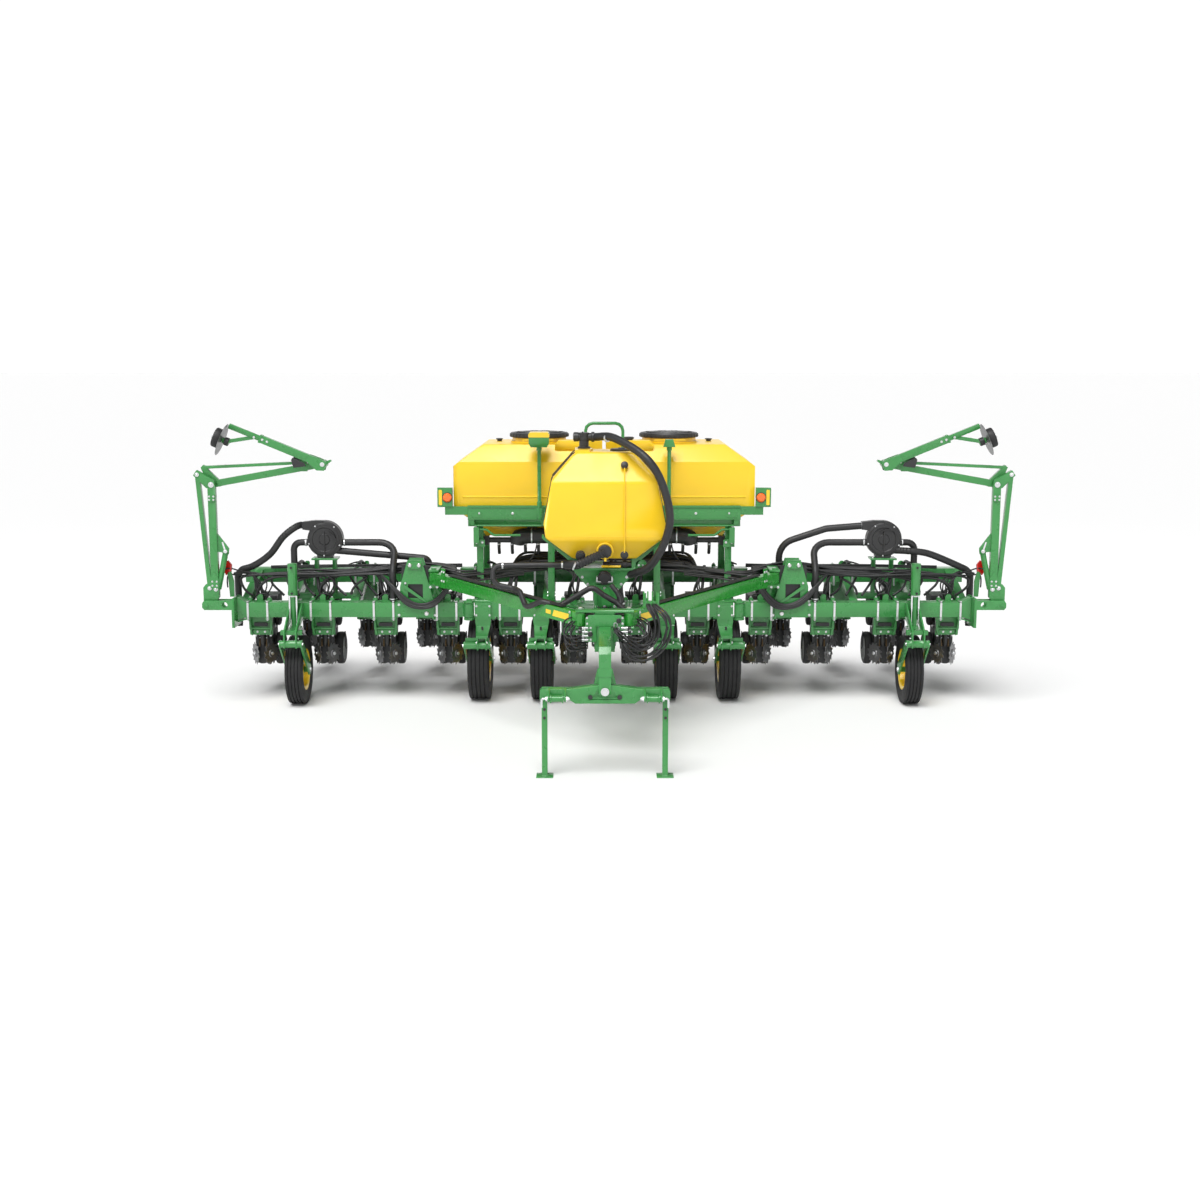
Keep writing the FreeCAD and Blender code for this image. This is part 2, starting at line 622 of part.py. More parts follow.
def centre_wheel_arms():
    parts = []
    y, z = CENTRE_YOKE
    reach = CENTRE_WHEEL_W / 2 + ARM_GAP
    for side in (-1, 1):
        for x, mount_x in ((side * ROW, side * ROW), (side * 2 * ROW, side * (2 * ROW - 60))):
            arms = wheel_arms(x, CENTRE_AXLE_Y, CENTRE_WHEEL_R, CENTRE_WHEEL_W, CENTRE_YOKE)
            cross = box(x - reach, x + reach, y + 46, y + 86, z + 30, z + 80)
            parts.append(unite(arms + [cross] + wheel_mount(mount_x, CHEEK_GAP, MOUNT_HALF, CENTRE_YOKE)))
    return group(parts)


def wing_wheel_arms():
    """Wheel arms, the open bracket that they swing on and the upright lift cylinder."""
    y, z = WING_YOKE
    x = WING_WHEEL_X
    arms = wheel_arms(x, WING_AXLE_Y, WING_WHEEL_R, WING_WHEEL_W, WING_YOKE)
    cheeks = [plate_x([(0, BAR_HIGH), (-60, BAR_HIGH), (y - 50, z + 150), (y - 50, z - 45), (y + 50, z - 45),
                       (y + 60, z + 110), (0, BAR_LOW)], edge - 8, edge + 8) for edge in (x - 70, x + 70)]
    cross = box(x - 127, x + 127, y + 40, y + 100, z + 100, z + 153)
    shelf = box(x - 70, x + 70, y + 90, -70, z + 125, z + 153)
    barrel = peg((x + 20, -110, 1348), (x + 20, -110, 1722), 57, 12)
    shaft = peg((x + 20, -110, z + 140), (x + 20, -110, 1348), 30)
    return unite(arms + cheeks + [cross, shelf, barrel, shaft])


# ---- tanks --------------------------------------------------------------------------------------
def tank_shell(inset):
    low = TANK_FACE_Z + inset
    high = TANK_TOP_Z - inset
    inner = TANK_IN + inset
    outer = TANK_OUT - inset
    body = plate_y([(inner, low), (outer - 160, low), (outer, low + 105), (outer, high - 250), (outer - 355, high),
                    (inner, high)], TANK_FRONT + inset, TANK_BACK - inset)
    side = plate_x([(TANK_FRONT + inset, low), (TANK_BACK - inset, low), (TANK_BACK - inset, high - 200),
                    (TANK_BACK - inset - 160, high), (TANK_FRONT + inset + 160, high),
                    (TANK_FRONT + inset, high - 200)], inner - 1, outer + 1)
    return body.common(side)


def tank():
    neck_top = TANK_TOP_Z + NECK_H
    neck = disc((LID_X, LID_Y, TANK_TOP_Z + NECK_H / 2), (0, 0, 1), LID_R - 25, NECK_H, 16)
    hopper = plate_y([(HOPPER_IN + 130, TANK_HOPPER_Z), (HOPPER_OUT - 50, TANK_HOPPER_Z), (HOPPER_OUT, 2100),
                      (HOPPER_OUT, TANK_FACE_Z), (HOPPER_IN, TANK_FACE_Z), (HOPPER_IN, 2150)],
                     HOPPER_FRONT, TANK_BACK - 280)
    hump = plate_y([(TANK_IN, TANK_TOP_Z - 60), (590, TANK_TOP_Z - 60), (590, TANK_HUMP_Z - 40),
                    (550, TANK_HUMP_Z), (TANK_IN, TANK_HUMP_Z)], TANK_FRONT + 90, LID_Y - 330)
    shell = unite([tank_shell(0), neck, hopper, hump]).cut(tank_shell(TANK_WALL))
    mouth = disc((LID_X, LID_Y, neck_top - 90), (0, 0, 1), LID_R - 25 - TANK_WALL, 200, 16)
    return shell.cut(mouth)


def tank_lid():
    top = TANK_TOP_Z + NECK_H
    cap = disc((LID_X, LID_Y, top + 30), (0, 0, 1), LID_R, 60, 16)
    crown = disc((LID_X, LID_Y, top + 68), (0, 0, 1), LID_R - 60, 16, 16)
    lug = box(LID_X - 60, LID_X + 60, LID_Y + LID_R - 30, LID_Y + LID_R + 45, top + 5, top + 45)
    return unite([cap, crown, lug])


def tank_frame():
    """Posts and deck that carry the tanks, the beam across their fronts and the hand hoop."""
    low = TANK_FACE_Z - DECK_H
    beam_front = TANK_FRONT - BEAM_D
    parts = [box(-BEAM_HALF, BEAM_HALF, beam_front, TANK_FRONT, BEAM_LOW, BEAM_HIGH),
             box(-BEAM_HALF, BEAM_HALF, TANK_FRONT, TANK_FRONT + 110, low, TANK_FACE_Z),
             box(-BEAM_HALF, BEAM_HALF, TANK_BACK - 250, TANK_BACK - 160, low, TANK_FACE_Z)]
    parts += [box(x - 40, x + 40, TANK_FRONT + 110, TANK_BACK - 60, low, TANK_FACE_Z) for x in (-1560, -110, 110, 1560)]
    for x in (-1500, -640, 640, 1500):
        foot = BAR_HIGH + (HINGE_EAR if abs(x) > 1300 else 0)
        parts.append(box(x - 40, x + 40, TANK_FRONT + 25, TANK_FRONT + 75, foot, low))
        parts.append(box(x - 40, x + 40, REAR_BAR_Y + 105, REAR_BAR_Y + 175, REAR_HIGH, low))
    brackets = [plate_y([(side * 1560, low + 20), (side * 1600, low + 20), (side * BEAM_HALF, BEAM_LOW + 10),
                         (side * 1560, BEAM_LOW + 10)], beam_front, beam_front + 30) for side in (-1, 1)]
    hoop_y = beam_front - 12
    hoop = pipe([(-HOOP_X, hoop_y, BEAM_LOW + 30), (-HOOP_X, hoop_y, HOOP_Z), (HOOP_X, hoop_y, HOOP_Z),
                 (HOOP_X, hoop_y, BEAM_LOW + 30)], 20, 90, 8)
    return unite(parts + brackets + [hoop])


def front_tank():
    half = FRONT_TANK_HALF
    low = FRONT_TANK_LOW
    high = FRONT_TANK_TOP
    right = [(FRONT_TANK_FLOOR, low), (half - 15, low + 247), (half, low + 405), (half - 88, high - 290),
             (half - 311, high - 32), (300, high)]
    outline = right + [(-x, z) for x, z in reversed(right)]
    y0 = FRONT_TANK_Y - FRONT_TANK_DEPTH / 2
    y1 = FRONT_TANK_Y + FRONT_TANK_DEPTH / 2
    front = plate_y(outline, y0, y1)
    side = plate_x([(y0 + 140, low), (y1 - 140, low), (y1, low + 220), (y1, high - 320), (y1 - 200, high),
                    (y0 + 200, high), (y0, high - 320), (y0, low + 220)], -half - 1, half + 1)
    filler = plate_z([(-330, y0 + 220), (-158, y0 + 220), (-120, y0 + 480), (-158, y1 - 300), (-330, y1 - 300)],
                     high - 90, high + 24)
    return front.common(side).fuse(filler).removeSplitter()


def front_tank_cradle():
    """Two tapered plates up from the tongue, a deck on them and saddles under the tank's sloping sides."""
    front = FRONT_TANK_Y - 300
    back = FRONT_TANK_Y + 300
    half = TONGUE_W / 2
    low = FRONT_TANK_LOW
    right = [(half, TONGUE_HIGH), (half + 20, 1600), (CRADLE_HALF - 15, CRADLE_DECK - 50), (CRADLE_HALF, CRADLE_DECK)]
    web = right + [(-x, z) for x, z in reversed(right)]
    parts = [plate_y(web, y, y + 40) for y in (front, back - 40)]
    parts.append(box(-CRADLE_HALF, CRADLE_HALF, front - 20, back, CRADLE_DECK - 25, CRADLE_DECK))
    saddle = [(FRONT_TANK_FLOOR - 50, CRADLE_DECK), (CRADLE_HALF, CRADLE_DECK), (FRONT_TANK_FLOOR + 18, low - 24),
              (FRONT_TANK_HALF + 7, low + 226), (FRONT_TANK_HALF - 15, low + 247), (FRONT_TANK_FLOOR, low),
              (FRONT_TANK_FLOOR - 50, low)]
    for y in (front, back - 40):
        parts.append(plate_y(saddle, y, y + 40))
        parts.append(plate_y([(-x, z) for x, z in saddle], y, y + 40))
    parts.append(box(-116, 134, front - 70, front, TONGUE_HIGH, 1700))
    parts.append(disc((CRADLE_HALF + 57, front + 10, 1913), (0, 1, 0), 62, 20, 12))
    return unite(parts)


def front_tank_fittings():
    """Fill coupling with its hose to the tongue, flat lid, drain port with its hose, cap, filter and valve."""
    high = FRONT_TANK_TOP
    y = FRONT_TANK_Y
    face = y - FRONT_TANK_DEPTH / 2
    neck = peg((-228, y, high + 24), (-228, y, high + 120), 52)
    coupling = peg((-335, y, high + 150), (-110, y, high + 150), 48)
    fill = pipe([(-115, y, high + 150), (110, y - 250, high + 150), (460, face - 60, 3101), (650, face - 75, 2760),
                 (700, face - 70, 2350), (500, face + 30, 1925), (185, y - 190, 1740), (185, y - 190, TONGUE_HIGH + 30)],
                45, 110, 6, 1)
    shoe = box(60, 240, y - 235, y - 145, TONGUE_HIGH, TONGUE_HIGH + 34)
    lid = disc((190, y, high + 12), (0, 0, 1), 125, 24, 12)
    port = peg((4, face - 75, 2091), (4, face + 110, 2091), 52)
    drain = pipe([(4, face - 50, 2091), (-300, face - 50, 1945), (-420, y - 250, 1912), (-1235, y - 250, 1900),
                  (-1235, y - 330, 1720), (-960, y - 420, 1672), (-400, y - 450, 1680), (-110, y - 345, 1660)],
                 31, 80, 6, 1)
    cap = peg((-263, face - 20, 2057), (-263, face + 130, 2057), 42)
    valve = peg((-18, y - 260, CRADLE_DECK + 35), (318, y - 260, CRADLE_DECK + 35), 35)
    filter_cup = peg((0, y - 400, 1785), (0, y - 320, 1785), 76, 10)
    tank_solid = front_tank()
    cradle = front_tank_cradle()
    pieces = [unite([neck, coupling, fill, shoe]), lid, unite([port, drain]), cap, valve, filter_cup]
    return group([piece.cut(tank_solid).cut(cradle) for piece in pieces])


def air_ducts():
    """Air manifold ahead of each hopper, with a narrower pipe out to its side."""
    parts = []
    y = HOPPER_FRONT - 105
    for side in (-1, 1):
        drum = peg((side * 300, y, DUCT_Z), (side * 1060, y, DUCT_Z), 98, 12)
        spout = peg((side * 1060, y, DUCT_Z - 40), (side * 1440, y, DUCT_Z - 40), 32, 6)
        block = box(min(side * 1400, side * 1490), max(side * 1400, side * 1490), y - 45, y + 45, DUCT_Z - 110,
                    DUCT_Z)
        seat = box(side * 880 - 60, side * 880 + 60, y, HOPPER_FRONT, DUCT_Z + 20, DUCT_Z + 100)
        parts.append(unite([drum, spout, block, seat]))
    return group(parts)


def lights_and_masts():
    """Side lamps on the ends of the tank beam and two masts on its front, one with a receiver."""
    parts = []
    beam_front = TANK_FRONT - BEAM_D
    for side in (-1, 1):
        inner = side * BEAM_HALF
        arm = box(min(inner, inner + side * 270), max(inner, inner + side * 270), beam_front, TANK_FRONT - 5,
                  BEAM_LOW + 60, BEAM_HIGH - 10)
        lamp_x = side * (BEAM_HALF + 268)
        lamp = box(lamp_x - 90, lamp_x + 90, beam_front - 15, TANK_FRONT, BEAM_HIGH - 15, BEAM_HIGH + 215)
        parts.append(unite([arm, lamp]))
        x = side * MAST_X
        mast = peg((x, beam_front - 30, BEAM_LOW + 10), (x, beam_front - 30, 3120), 24)
        foot = box(x - 30, x + 30, beam_front - 50, beam_front, BEAM_LOW + 5, BEAM_HIGH - 20)
        if side < 0:
            head = plate_y([(x - 95, 3116), (x + 95, 3116), (x + 120, 3160), (x + 120, 3285), (x - 120, 3285),
                            (x - 120, 3160)], beam_front - 140, beam_front + 60)
        else:
            head = plate_y([(x - 72, 3116), (x + 72, 3116), (x + 45, 3205), (x - 45, 3205)], beam_front - 90,
                           beam_front + 30)
        parts.append(unite([mast, foot, head]))
    return group(parts)


# ---- row units ----------------------------------------------------------------------------------
HEAD_HALF = 140.0               # half width of the plate on the bar
HEAD_T = 30.0
FRAME_HALF = 60.0               # half width of the frame between the gauge wheels
FRAME_WALL = 14.0               # side plates of the frame, with the seed openers' space between them
FRONT_HALF = 100.0              # half width of the plate that carries the row cleaners
FRONT_T = 45.0
TAIL_HALF = 40.0


def seated_pair(y, z, radius, width, inner, sides):
    """A wheel on each side, its inner face on the frame."""
    return [disc((side * (inner + width / 2), y, z), (1, 0, 0), radius, width, sides) for side in (-1, 1)]


def unit_body(bar_top, b):
    """One row unit behind a bar whose back is at y = b, centred on x = 0."""
    head = box(-HEAD_HALF, HEAD_HALF, b, b + HEAD_T, 812, bar_top)
    frame = plate_x([(b + HEAD_T, 1014), (b + HEAD_T, 843), (b + 110, 826), (b + 110, 560), (b + 400, 600),
                     (b + 500, UNIT_BOTTOM + 50), (b + 620, UNIT_BOTTOM + 50), (b + 700, 600), (b + 700, 1080),
                     (b + 500, 1080), (b + 470, 925)], -FRAME_HALF, FRAME_HALF)
    window = plate_x([(b + 75, 976), (b + 75, 868), (b + 420, 795), (b + 420, 900)], -FRAME_HALF - 1, FRAME_HALF + 1)
    half_space = FRAME_HALF - FRAME_WALL
    space = plate_x([(b + 110 + FRONT_T, 700), (b + 110 + FRONT_T, UNIT_BOTTOM), (b + 670, UNIT_BOTTOM),
                     (b + 670, 1000), (b + 530, 1000), (b + 470, 700)], -half_space, half_space)
    front = plate_y([(-FRONT_HALF, 800), (-FRONT_HALF, 490), (-80, 440), (80, 440), (FRONT_HALF, 490),
                     (FRONT_HALF, 800)], b + 110, b + 110 + FRONT_T)
    tail = plate_x([(b + 700, 720), (b + 700, 610), (b + 1010, UNIT_BOTTOM + 150), (b + 1040, UNIT_BOTTOM + 200)],
                   -TAIL_HALF, TAIL_HALF)
    return unite([head, frame, front, tail]).cut(window).cut(space)


def unit_wheels(b):
    """Gauge wheels and closing wheels on their forks, and cleaner wheels toed in on the front plate's edges."""
    gauges = seated_pair(b + 590, UNIT_BOTTOM + GAUGE_R, GAUGE_R, GAUGE_W, FRAME_HALF, 8)
    closers = seated_pair(b + 990, UNIT_BOTTOM + CLOSER_R + 20, CLOSER_R, 26, TAIL_HALF, 6)
    toe = math.radians(CLEANER_TOE)
    half = CLEANER_T / 2
    ahead = 20.0
    cleaners = []
    for side in (-1, 1):
        x = FRONT_HALF + half * math.cos(toe) - ahead * math.sin(toe)
        y = b + 110 - half * math.sin(toe) - ahead * math.cos(toe)
        cleaners.append(disc((side * x, y, CLEANER_Z), (side * math.cos(toe), -math.sin(toe), 0), CLEANER_R,
                             CLEANER_T, 6))
    return gauges + closers + cleaners


def rank(count, low, high, bar_top, bar_back):
    """Bodies and wheel sets of the units of one rank whose x lies between low and high."""
    body = unit_body(bar_top, bar_back)
    wheels = unit_wheels(bar_back)
    bodies, sets = [], []
    for k in range(count):
        x = (k - (count - 1) / 2) * ROW
        if low < x < high:
            bodies.append(moved(body, x, 0, 0))
            sets.extend(moved(wheel, x, 0, 0) for wheel in wheels)
    return bodies, sets


def units_between(low, high):
    front_bodies, front_wheels = rank(FRONT_RANK, low, high, BAR_HIGH, BAR)
    rear_bodies, rear_wheels = rank(REAR_RANK, low, high, REAR_HIGH, REAR_BACK)
    return group(front_bodies + rear_bodies), group(front_wheels + rear_wheels)


# ---- blowers ------------------------------------------------------------------------------------
FAN_DECK = BLOWER_Z - BLOWER_R


def blower_stand():
    """Small deck on two legs on a cross member between two wing rails."""
    x = BLOWER_X
    y = BLOWER_Y
    cross = box(4 * ROW + RAIL_W / 2, 5 * ROW - RAIL_W / 2, y - 40, y + 40, 1225, 1295)
    plate = box(x - 160, x + 160, y - 110, y + 110, FAN_DECK - 22, FAN_DECK)
    legs = [box(x + dx - 25, x + dx + 25, y - 30, y + 30, 1295, FAN_DECK - 22) for dx in (-110, 110)]
    return [cross, plate] + legs


def wing_blower(side):
    """Fan with its motor ahead of it; the top outlet of both fans points to the machine's right."""
    x = side * BLOWER_X
    y = BLOWER_Y
    housing = disc((x, y, BLOWER_Z), (0, 1, 0), BLOWER_R, 150, 20)
    throat = box(x - BLOWER_R - 40, x - 40, y - 60, y + 60, BLOWER_Z + 95, BLOWER_Z + BLOWER_R)
    foot = box(x - 90, x + 90, y - 60, y + 60, FAN_DECK, FAN_DECK + 40)
    motor = disc((x, y - 130, BLOWER_Z), (0, 1, 0), 80, 120, 10)
    return unite([housing, throat, foot, motor])


def wing_air_hose(side):
    """Four air pipes from the fan: down past the outer rail, to two rails and to the front bar."""
    y = BLOWER_Y
    ahead = y - 95
    drop_x = OUTER_RAIL_X + RAIL_W / 2 + 53
    top = BLOWER_Z + 165
    middle = BLOWER_Z - 43
    low = BLOWER_Z - 140
    if side < 0:
        outer = [(BLOWER_X + 200, y, top), (BLOWER_X + 330, y, top), (BLOWER_X + 640, ahead, 1810)]
        inner = [(BLOWER_X - 100, y, low), (INNER_RAIL_X, y, 1720)]
    else:
        outer = [(BLOWER_X + 100, y, low), (BLOWER_X + 280, ahead, low), (BLOWER_X + 640, ahead, 1761)]
        inner = [(BLOWER_X - 200, y, top), (BLOWER_X - 700, y, 2090), (INNER_RAIL_X, y, 1900)]
    bar_x = FLEX_OUT + 105
    routes = [outer + [(drop_x, ahead, 1600), (drop_x, ahead, 895)],
              inner + [(INNER_RAIL_X, y, 1200)],
              [(BLOWER_X + 150, y, middle), (5 * ROW, y, middle), (5 * ROW, y, 1200)],
              [(BLOWER_X - 150, y, middle), (bar_x, y, middle), (bar_x, BAR / 2, 1600), (bar_x, BAR / 2, BAR_HIGH)]]
    pipes = [pipe(route, AIR_PIPE_R, 110, 6, 1) for route in routes]
    pipes[0] = pipes[0].fuse(box(OUTER_RAIL_X + RAIL_W / 2, drop_x, ahead - 20, ahead + 20, 1170, 1210))
    if side < 0:
        pipes = [mirrored(part) for part in pipes]
    seats = [rail_block(side * INNER_RAIL_X, BAR + 25), rail_block(side * 5 * ROW)]
    return group([part.cut(wing_blower(side)).cut(seats) for part in pipes])


# ---- markers ------------------------------------------------------------------------------------
POST_TOP = (MARKER_X, MARKER_Z + POST_L)
BOOM_END = (MARKER_X - BOOM_L * math.cos(math.radians(BOOM_RISE)),
            POST_TOP[1] + BOOM_L * math.sin(math.radians(BOOM_RISE)))
TIP_ALONG = (math.cos(math.radians(TIP_RISE)), math.sin(math.radians(TIP_RISE)))
POST_Y = (MARKER_Y - MARKER_LAYER / 2, MARKER_Y + MARKER_LAYER / 2)
BOOM_Y = (POST_Y[1] + GAP, POST_Y[1] + GAP + 70)


def strip(start, end, width, layer):
    """Flat bar in an x-z plane from one point to another, as deep as the layer."""
    dx = end[0] - start[0]
    dz = end[1] - start[1]
    length = math.hypot(dx, dz)
    nx = -dz / length * width / 2
    nz = dx / length * width / 2
    return plate_y([(start[0] + nx, start[1] + nz), (end[0] + nx, end[1] + nz), (end[0] - nx, end[1] - nz),
                    (start[0] - nx, start[1] - nz)], *layer)


def pin_y(point, radius, layer):
    return peg((point[0], layer[0], point[1]), (point[0], layer[1], point[1]), radius, PIN_SIDES)


def bore_y(point, radius, layer):
    return pin_hole((point[0], layer[0] - 1, point[1]), (point[0], layer[1] + 1, point[1]), radius + RUN)


def boss_y(point, radius, layer):
    return peg((point[0], layer[0], point[1]), (point[0], layer[1], point[1]), radius)


def along_tip(out, down):
    """Point measured from the boom's end along the tip arm and square to it."""
    return (BOOM_END[0] + TIP_ALONG[0] * out + TIP_ALONG[1] * down,
            BOOM_END[1] + TIP_ALONG[1] * out - TIP_ALONG[0] * down)


def marker_bracket():
    """End plate of the wing bar with a pair of arms that hold the post's lower pin."""
    px, pz = MARKER_PIVOT
    back = (POST_Y[1] + GAP, POST_Y[1] + GAP + 25)
    front = (POST_Y[0] - GAP - 25, POST_Y[0] - GAP)
    plate = box(END_PLATE_X, END_PLATE_X + 32, front[0], BAR, 960, 1310)
    outline = [(END_PLATE_X + 32, pz - 55), (px + 30, pz - 55), (px + 55, pz - 25), (px + 55, pz + 25),
               (px + 30, pz + 59), (END_PLATE_X + 32, pz + 59)]
    hole_x = END_PLATE_X + 112
    arms = [plate_y(outline, *layer).cut(peg((hole_x, layer[0] - 1, pz + 4), (hole_x, layer[1] + 1, pz + 4), 37))
            for layer in (back, front)]
    return [plate] + arms + [pin_y(MARKER_PIVOT, MARKER_PIN_R, (front[0] - 15, back[1] + 15))]


def marker_post():
    """Post on its base plate, the parallel link beside it and the cylinder on its inner side."""
    link_foot = (MARKER_X + 62, MARKER_Z + 55)
    link_head = (MARKER_X + 163, POST_TOP[1] + 120)
    px, pz = MARKER_PIVOT
    head = plate_y([(MARKER_X - 40, POST_TOP[1] - 60), (MARKER_X + 60, POST_TOP[1] - 40),
                    (MARKER_X + 210, POST_TOP[1] + 110), (MARKER_X + 170, POST_TOP[1] + 170),
                    (MARKER_X - 40, POST_TOP[1] + 50)], *POST_Y)
    base = plate_y([(MARKER_X - 45, MARKER_Z + 100), (MARKER_X + 110, MARKER_Z + 100), (px + 40, MARKER_Z + 60),
                    (px + 40, pz - 20), (px - 40, pz - 40), (MARKER_X - 45, MARKER_Z - 60)], *POST_Y)
    gusset = plate_y([(MARKER_X, MARKER_Z + 776), (MARKER_X - 180, MARKER_Z + 530), (MARKER_X - 175, MARKER_Z + 480),
                      (MARKER_X, MARKER_Z + 490)], MARKER_Y - 12, MARKER_Y + 12)
    parts = [strip((MARKER_X, MARKER_Z), POST_TOP, 90, POST_Y), strip(link_foot, link_head, 50, POST_Y), head, base,
             boss_y(MARKER_PIVOT, 54, POST_Y), gusset,
             pin_y(POST_TOP, MARKER_PIN_R, (POST_Y[0], BOOM_Y[1] + 15)),
             peg((MARKER_X - 140, MARKER_Y, MARKER_Z + 500), (MARKER_X - 35, MARKER_Y, MARKER_Z + 40), 34)]
    return unite(parts).cut(bore_y(MARKER_PIVOT, MARKER_PIN_R, POST_Y))


def marker_boom():
    heel = (MARKER_X + 107, POST_TOP[1] + 197)
    link_end = (BOOM_END[0] + 300, BOOM_END[1] + 10)
    plate = plate_y([(POST_TOP[0] - 90, POST_TOP[1] - 30), (POST_TOP[0] + 40, POST_TOP[1] - 40),
                     (heel[0] + 30, heel[1]), (heel[0], heel[1] + 30), (POST_TOP[0] - 60, POST_TOP[1] + 60)], *BOOM_Y)
    bumper = box(BOOM_END[0] + 200, BOOM_END[0] + 360, *BOOM_Y, BOOM_END[1] - 90, BOOM_END[1] + 40)
    parts = [strip(POST_TOP, BOOM_END, 80, BOOM_Y), plate, strip(heel, link_end, 34, BOOM_Y), bumper,
             boss_y(POST_TOP, 50, BOOM_Y), boss_y(BOOM_END, 50, BOOM_Y),
             pin_y(BOOM_END, MARKER_PIN_R, (POST_Y[0] - 15, BOOM_Y[1]))]
    return unite(parts).cut(bore_y(POST_TOP, MARKER_PIN_R, BOOM_Y))


HUB_OUT = TIP_L + 25
HUB_DOWN = 185.0


def hub_ends(start, end):
    """Two points on the marker disc's own axis, at distances out from the boom's end."""
    a = along_tip(start, HUB_DOWN)
    b = along_tip(end, HUB_DOWN)
    return (a[0], MARKER_Y, a[1]), (b[0], MARKER_Y, b[1])


def hub_peg(start, end, radius, sides=8):
    return peg(*hub_ends(start, end), radius, sides)


def marker_tip_arm():
    inner = (POST_Y[0] + 12, POST_Y[1] - 12)
    parts = [strip(BOOM_END, along_tip(TIP_SLEEVE_L, 0), 90, POST_Y),
             strip(along_tip(TIP_SLEEVE_L, 0), along_tip(TIP_L, 0), 60, inner),
             strip(along_tip(860, 10), along_tip(HUB_OUT - 60, HUB_DOWN), 44, (MARKER_Y - 20, MARKER_Y + 20)),
             boss_y(BOOM_END, 50, POST_Y), hub_peg(HUB_OUT - 95, HUB_OUT - 10, 36),
             hub_peg(HUB_OUT - 10, HUB_OUT + MARKER_DRUM_W + 20, SPINDLE_R, PIN_SIDES)]
    return unite(parts).cut(bore_y(BOOM_END, MARKER_PIN_R, POST_Y))


def marker_disc():
    """Thin cutting disc with the depth drum bolted to its outer side, bored for the spindle."""
    axis = (TIP_ALONG[0], 0, TIP_ALONG[1])
    blade = along_tip(HUB_OUT, HUB_DOWN)
    drum = along_tip(HUB_OUT + 4 + MARKER_DRUM_W / 2, HUB_DOWN)
    whole = unite([disc((blade[0], MARKER_Y, blade[1]), axis, MARKER_DISC_R, 8, 16),
                   disc((drum[0], MARKER_Y, drum[1]), axis, MARKER_DRUM_R, MARKER_DRUM_W, 10)])
    return whole.cut(pin_hole(*hub_ends(HUB_OUT - 20, HUB_OUT + MARKER_DRUM_W + 60), SPINDLE_R + RUN))


# ---- the whole machine --------------------------------------------------------------------------
def wing(side):
    """Nodes of one wing, built on the left and mirrored for the right."""
    name = "left" if side > 0 else "right"
    bodies, wheels = units_between(WING_START, WING_REAR_END)
    tyre_at = (WING_WHEEL_X, WING_AXLE_Y, axle_height(WING_WHEEL_R))
    nodes = {
        "wing_front_bar": unite([wing_front_bar()] + marker_bracket()),
        "wing_rear_bar": wing_rear_bar(),
        "wing_row_units": bodies,
        "wing_unit_wheels": wheels,
        "wing_wheel_arms": wing_wheel_arms(),
        "wing_tyre": tyre(tyre_at, WING_WHEEL_R, WING_WHEEL_W),
        "wing_rim": rim(tyre_at, WING_WHEEL_R, WING_WHEEL_W),
        "marker_post": marker_post(),
        "marker_boom": marker_boom(),
        "marker_tip_arm": marker_tip_arm(),
        "marker_disc": marker_disc(),
        "tank": tank(),
        "tank_lid": tank_lid(),
    }
    if side < 0:
        nodes = {key: mirrored(shape) for key, shape in nodes.items()}
    nodes["blower"] = wing_blower(side)
    nodes["air_hose"] = wing_air_hose(side)
    nodes["stand"] = stand(side)
    nodes["draft_link"] = draft_link(side)
    return {name + "_" + key: shape for key, shape in nodes.items()}


def machine():
    bodies, wheels = units_between(-WING_START, WING_START)
    nodes = {
        "centre_front_bar": centre_front_bar(),
        "centre_rear_bar": centre_rear_bar(),
        "centre_rails": centre_rails(),
        "centre_wheel_arms": centre_wheel_arms(),
        "centre_row_units": bodies,
        "centre_unit_wheels": wheels,
        "tank_frame": tank_frame(),
        "front_tank": front_tank(),
        "front_tank_cradle": front_tank_cradle(),
        "front_tank_fittings": front_tank_fittings(),
        "air_ducts": air_ducts(),
        "lights_and_masts": lights_and_masts(),
        "tongue_tube": tongue_tube(),
        "tongue_slide": tongue_slide(),
        "hitch_beam": hitch_beam(),
        "hose_bracket": hose_bracket(),
        "hitch_hoses": hitch_hoses(),
    }
    for place, k in (("right_outer", -2), ("right_inner", -1), ("left_inner", 1), ("left_outer", 2)):
        centre = (k * ROW, CENTRE_AXLE_Y, axle_height(CENTRE_WHEEL_R))
        nodes[place + "_centre_tyre"] = tyre(centre, CENTRE_WHEEL_R, CENTRE_WHEEL_W)
        nodes[place + "_centre_rim"] = rim(centre, CENTRE_WHEEL_R, CENTRE_WHEEL_W)
    nodes.update(wing(1))
    nodes.update(wing(-1))
    return nodes


def main():
    nodes = machine()
    whole = group(list(nodes.values())).BoundBox
    middle = -round((whole.YMin + whole.YMax) / 2)
    os.makedirs("parts", exist_ok=True)
    for name, shape in nodes.items():
        shape.translate(vec(0, middle, 0))
        shape.exportStep("parts/" + name + ".step")


main()
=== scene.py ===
import json
import math
import random
from itertools import product

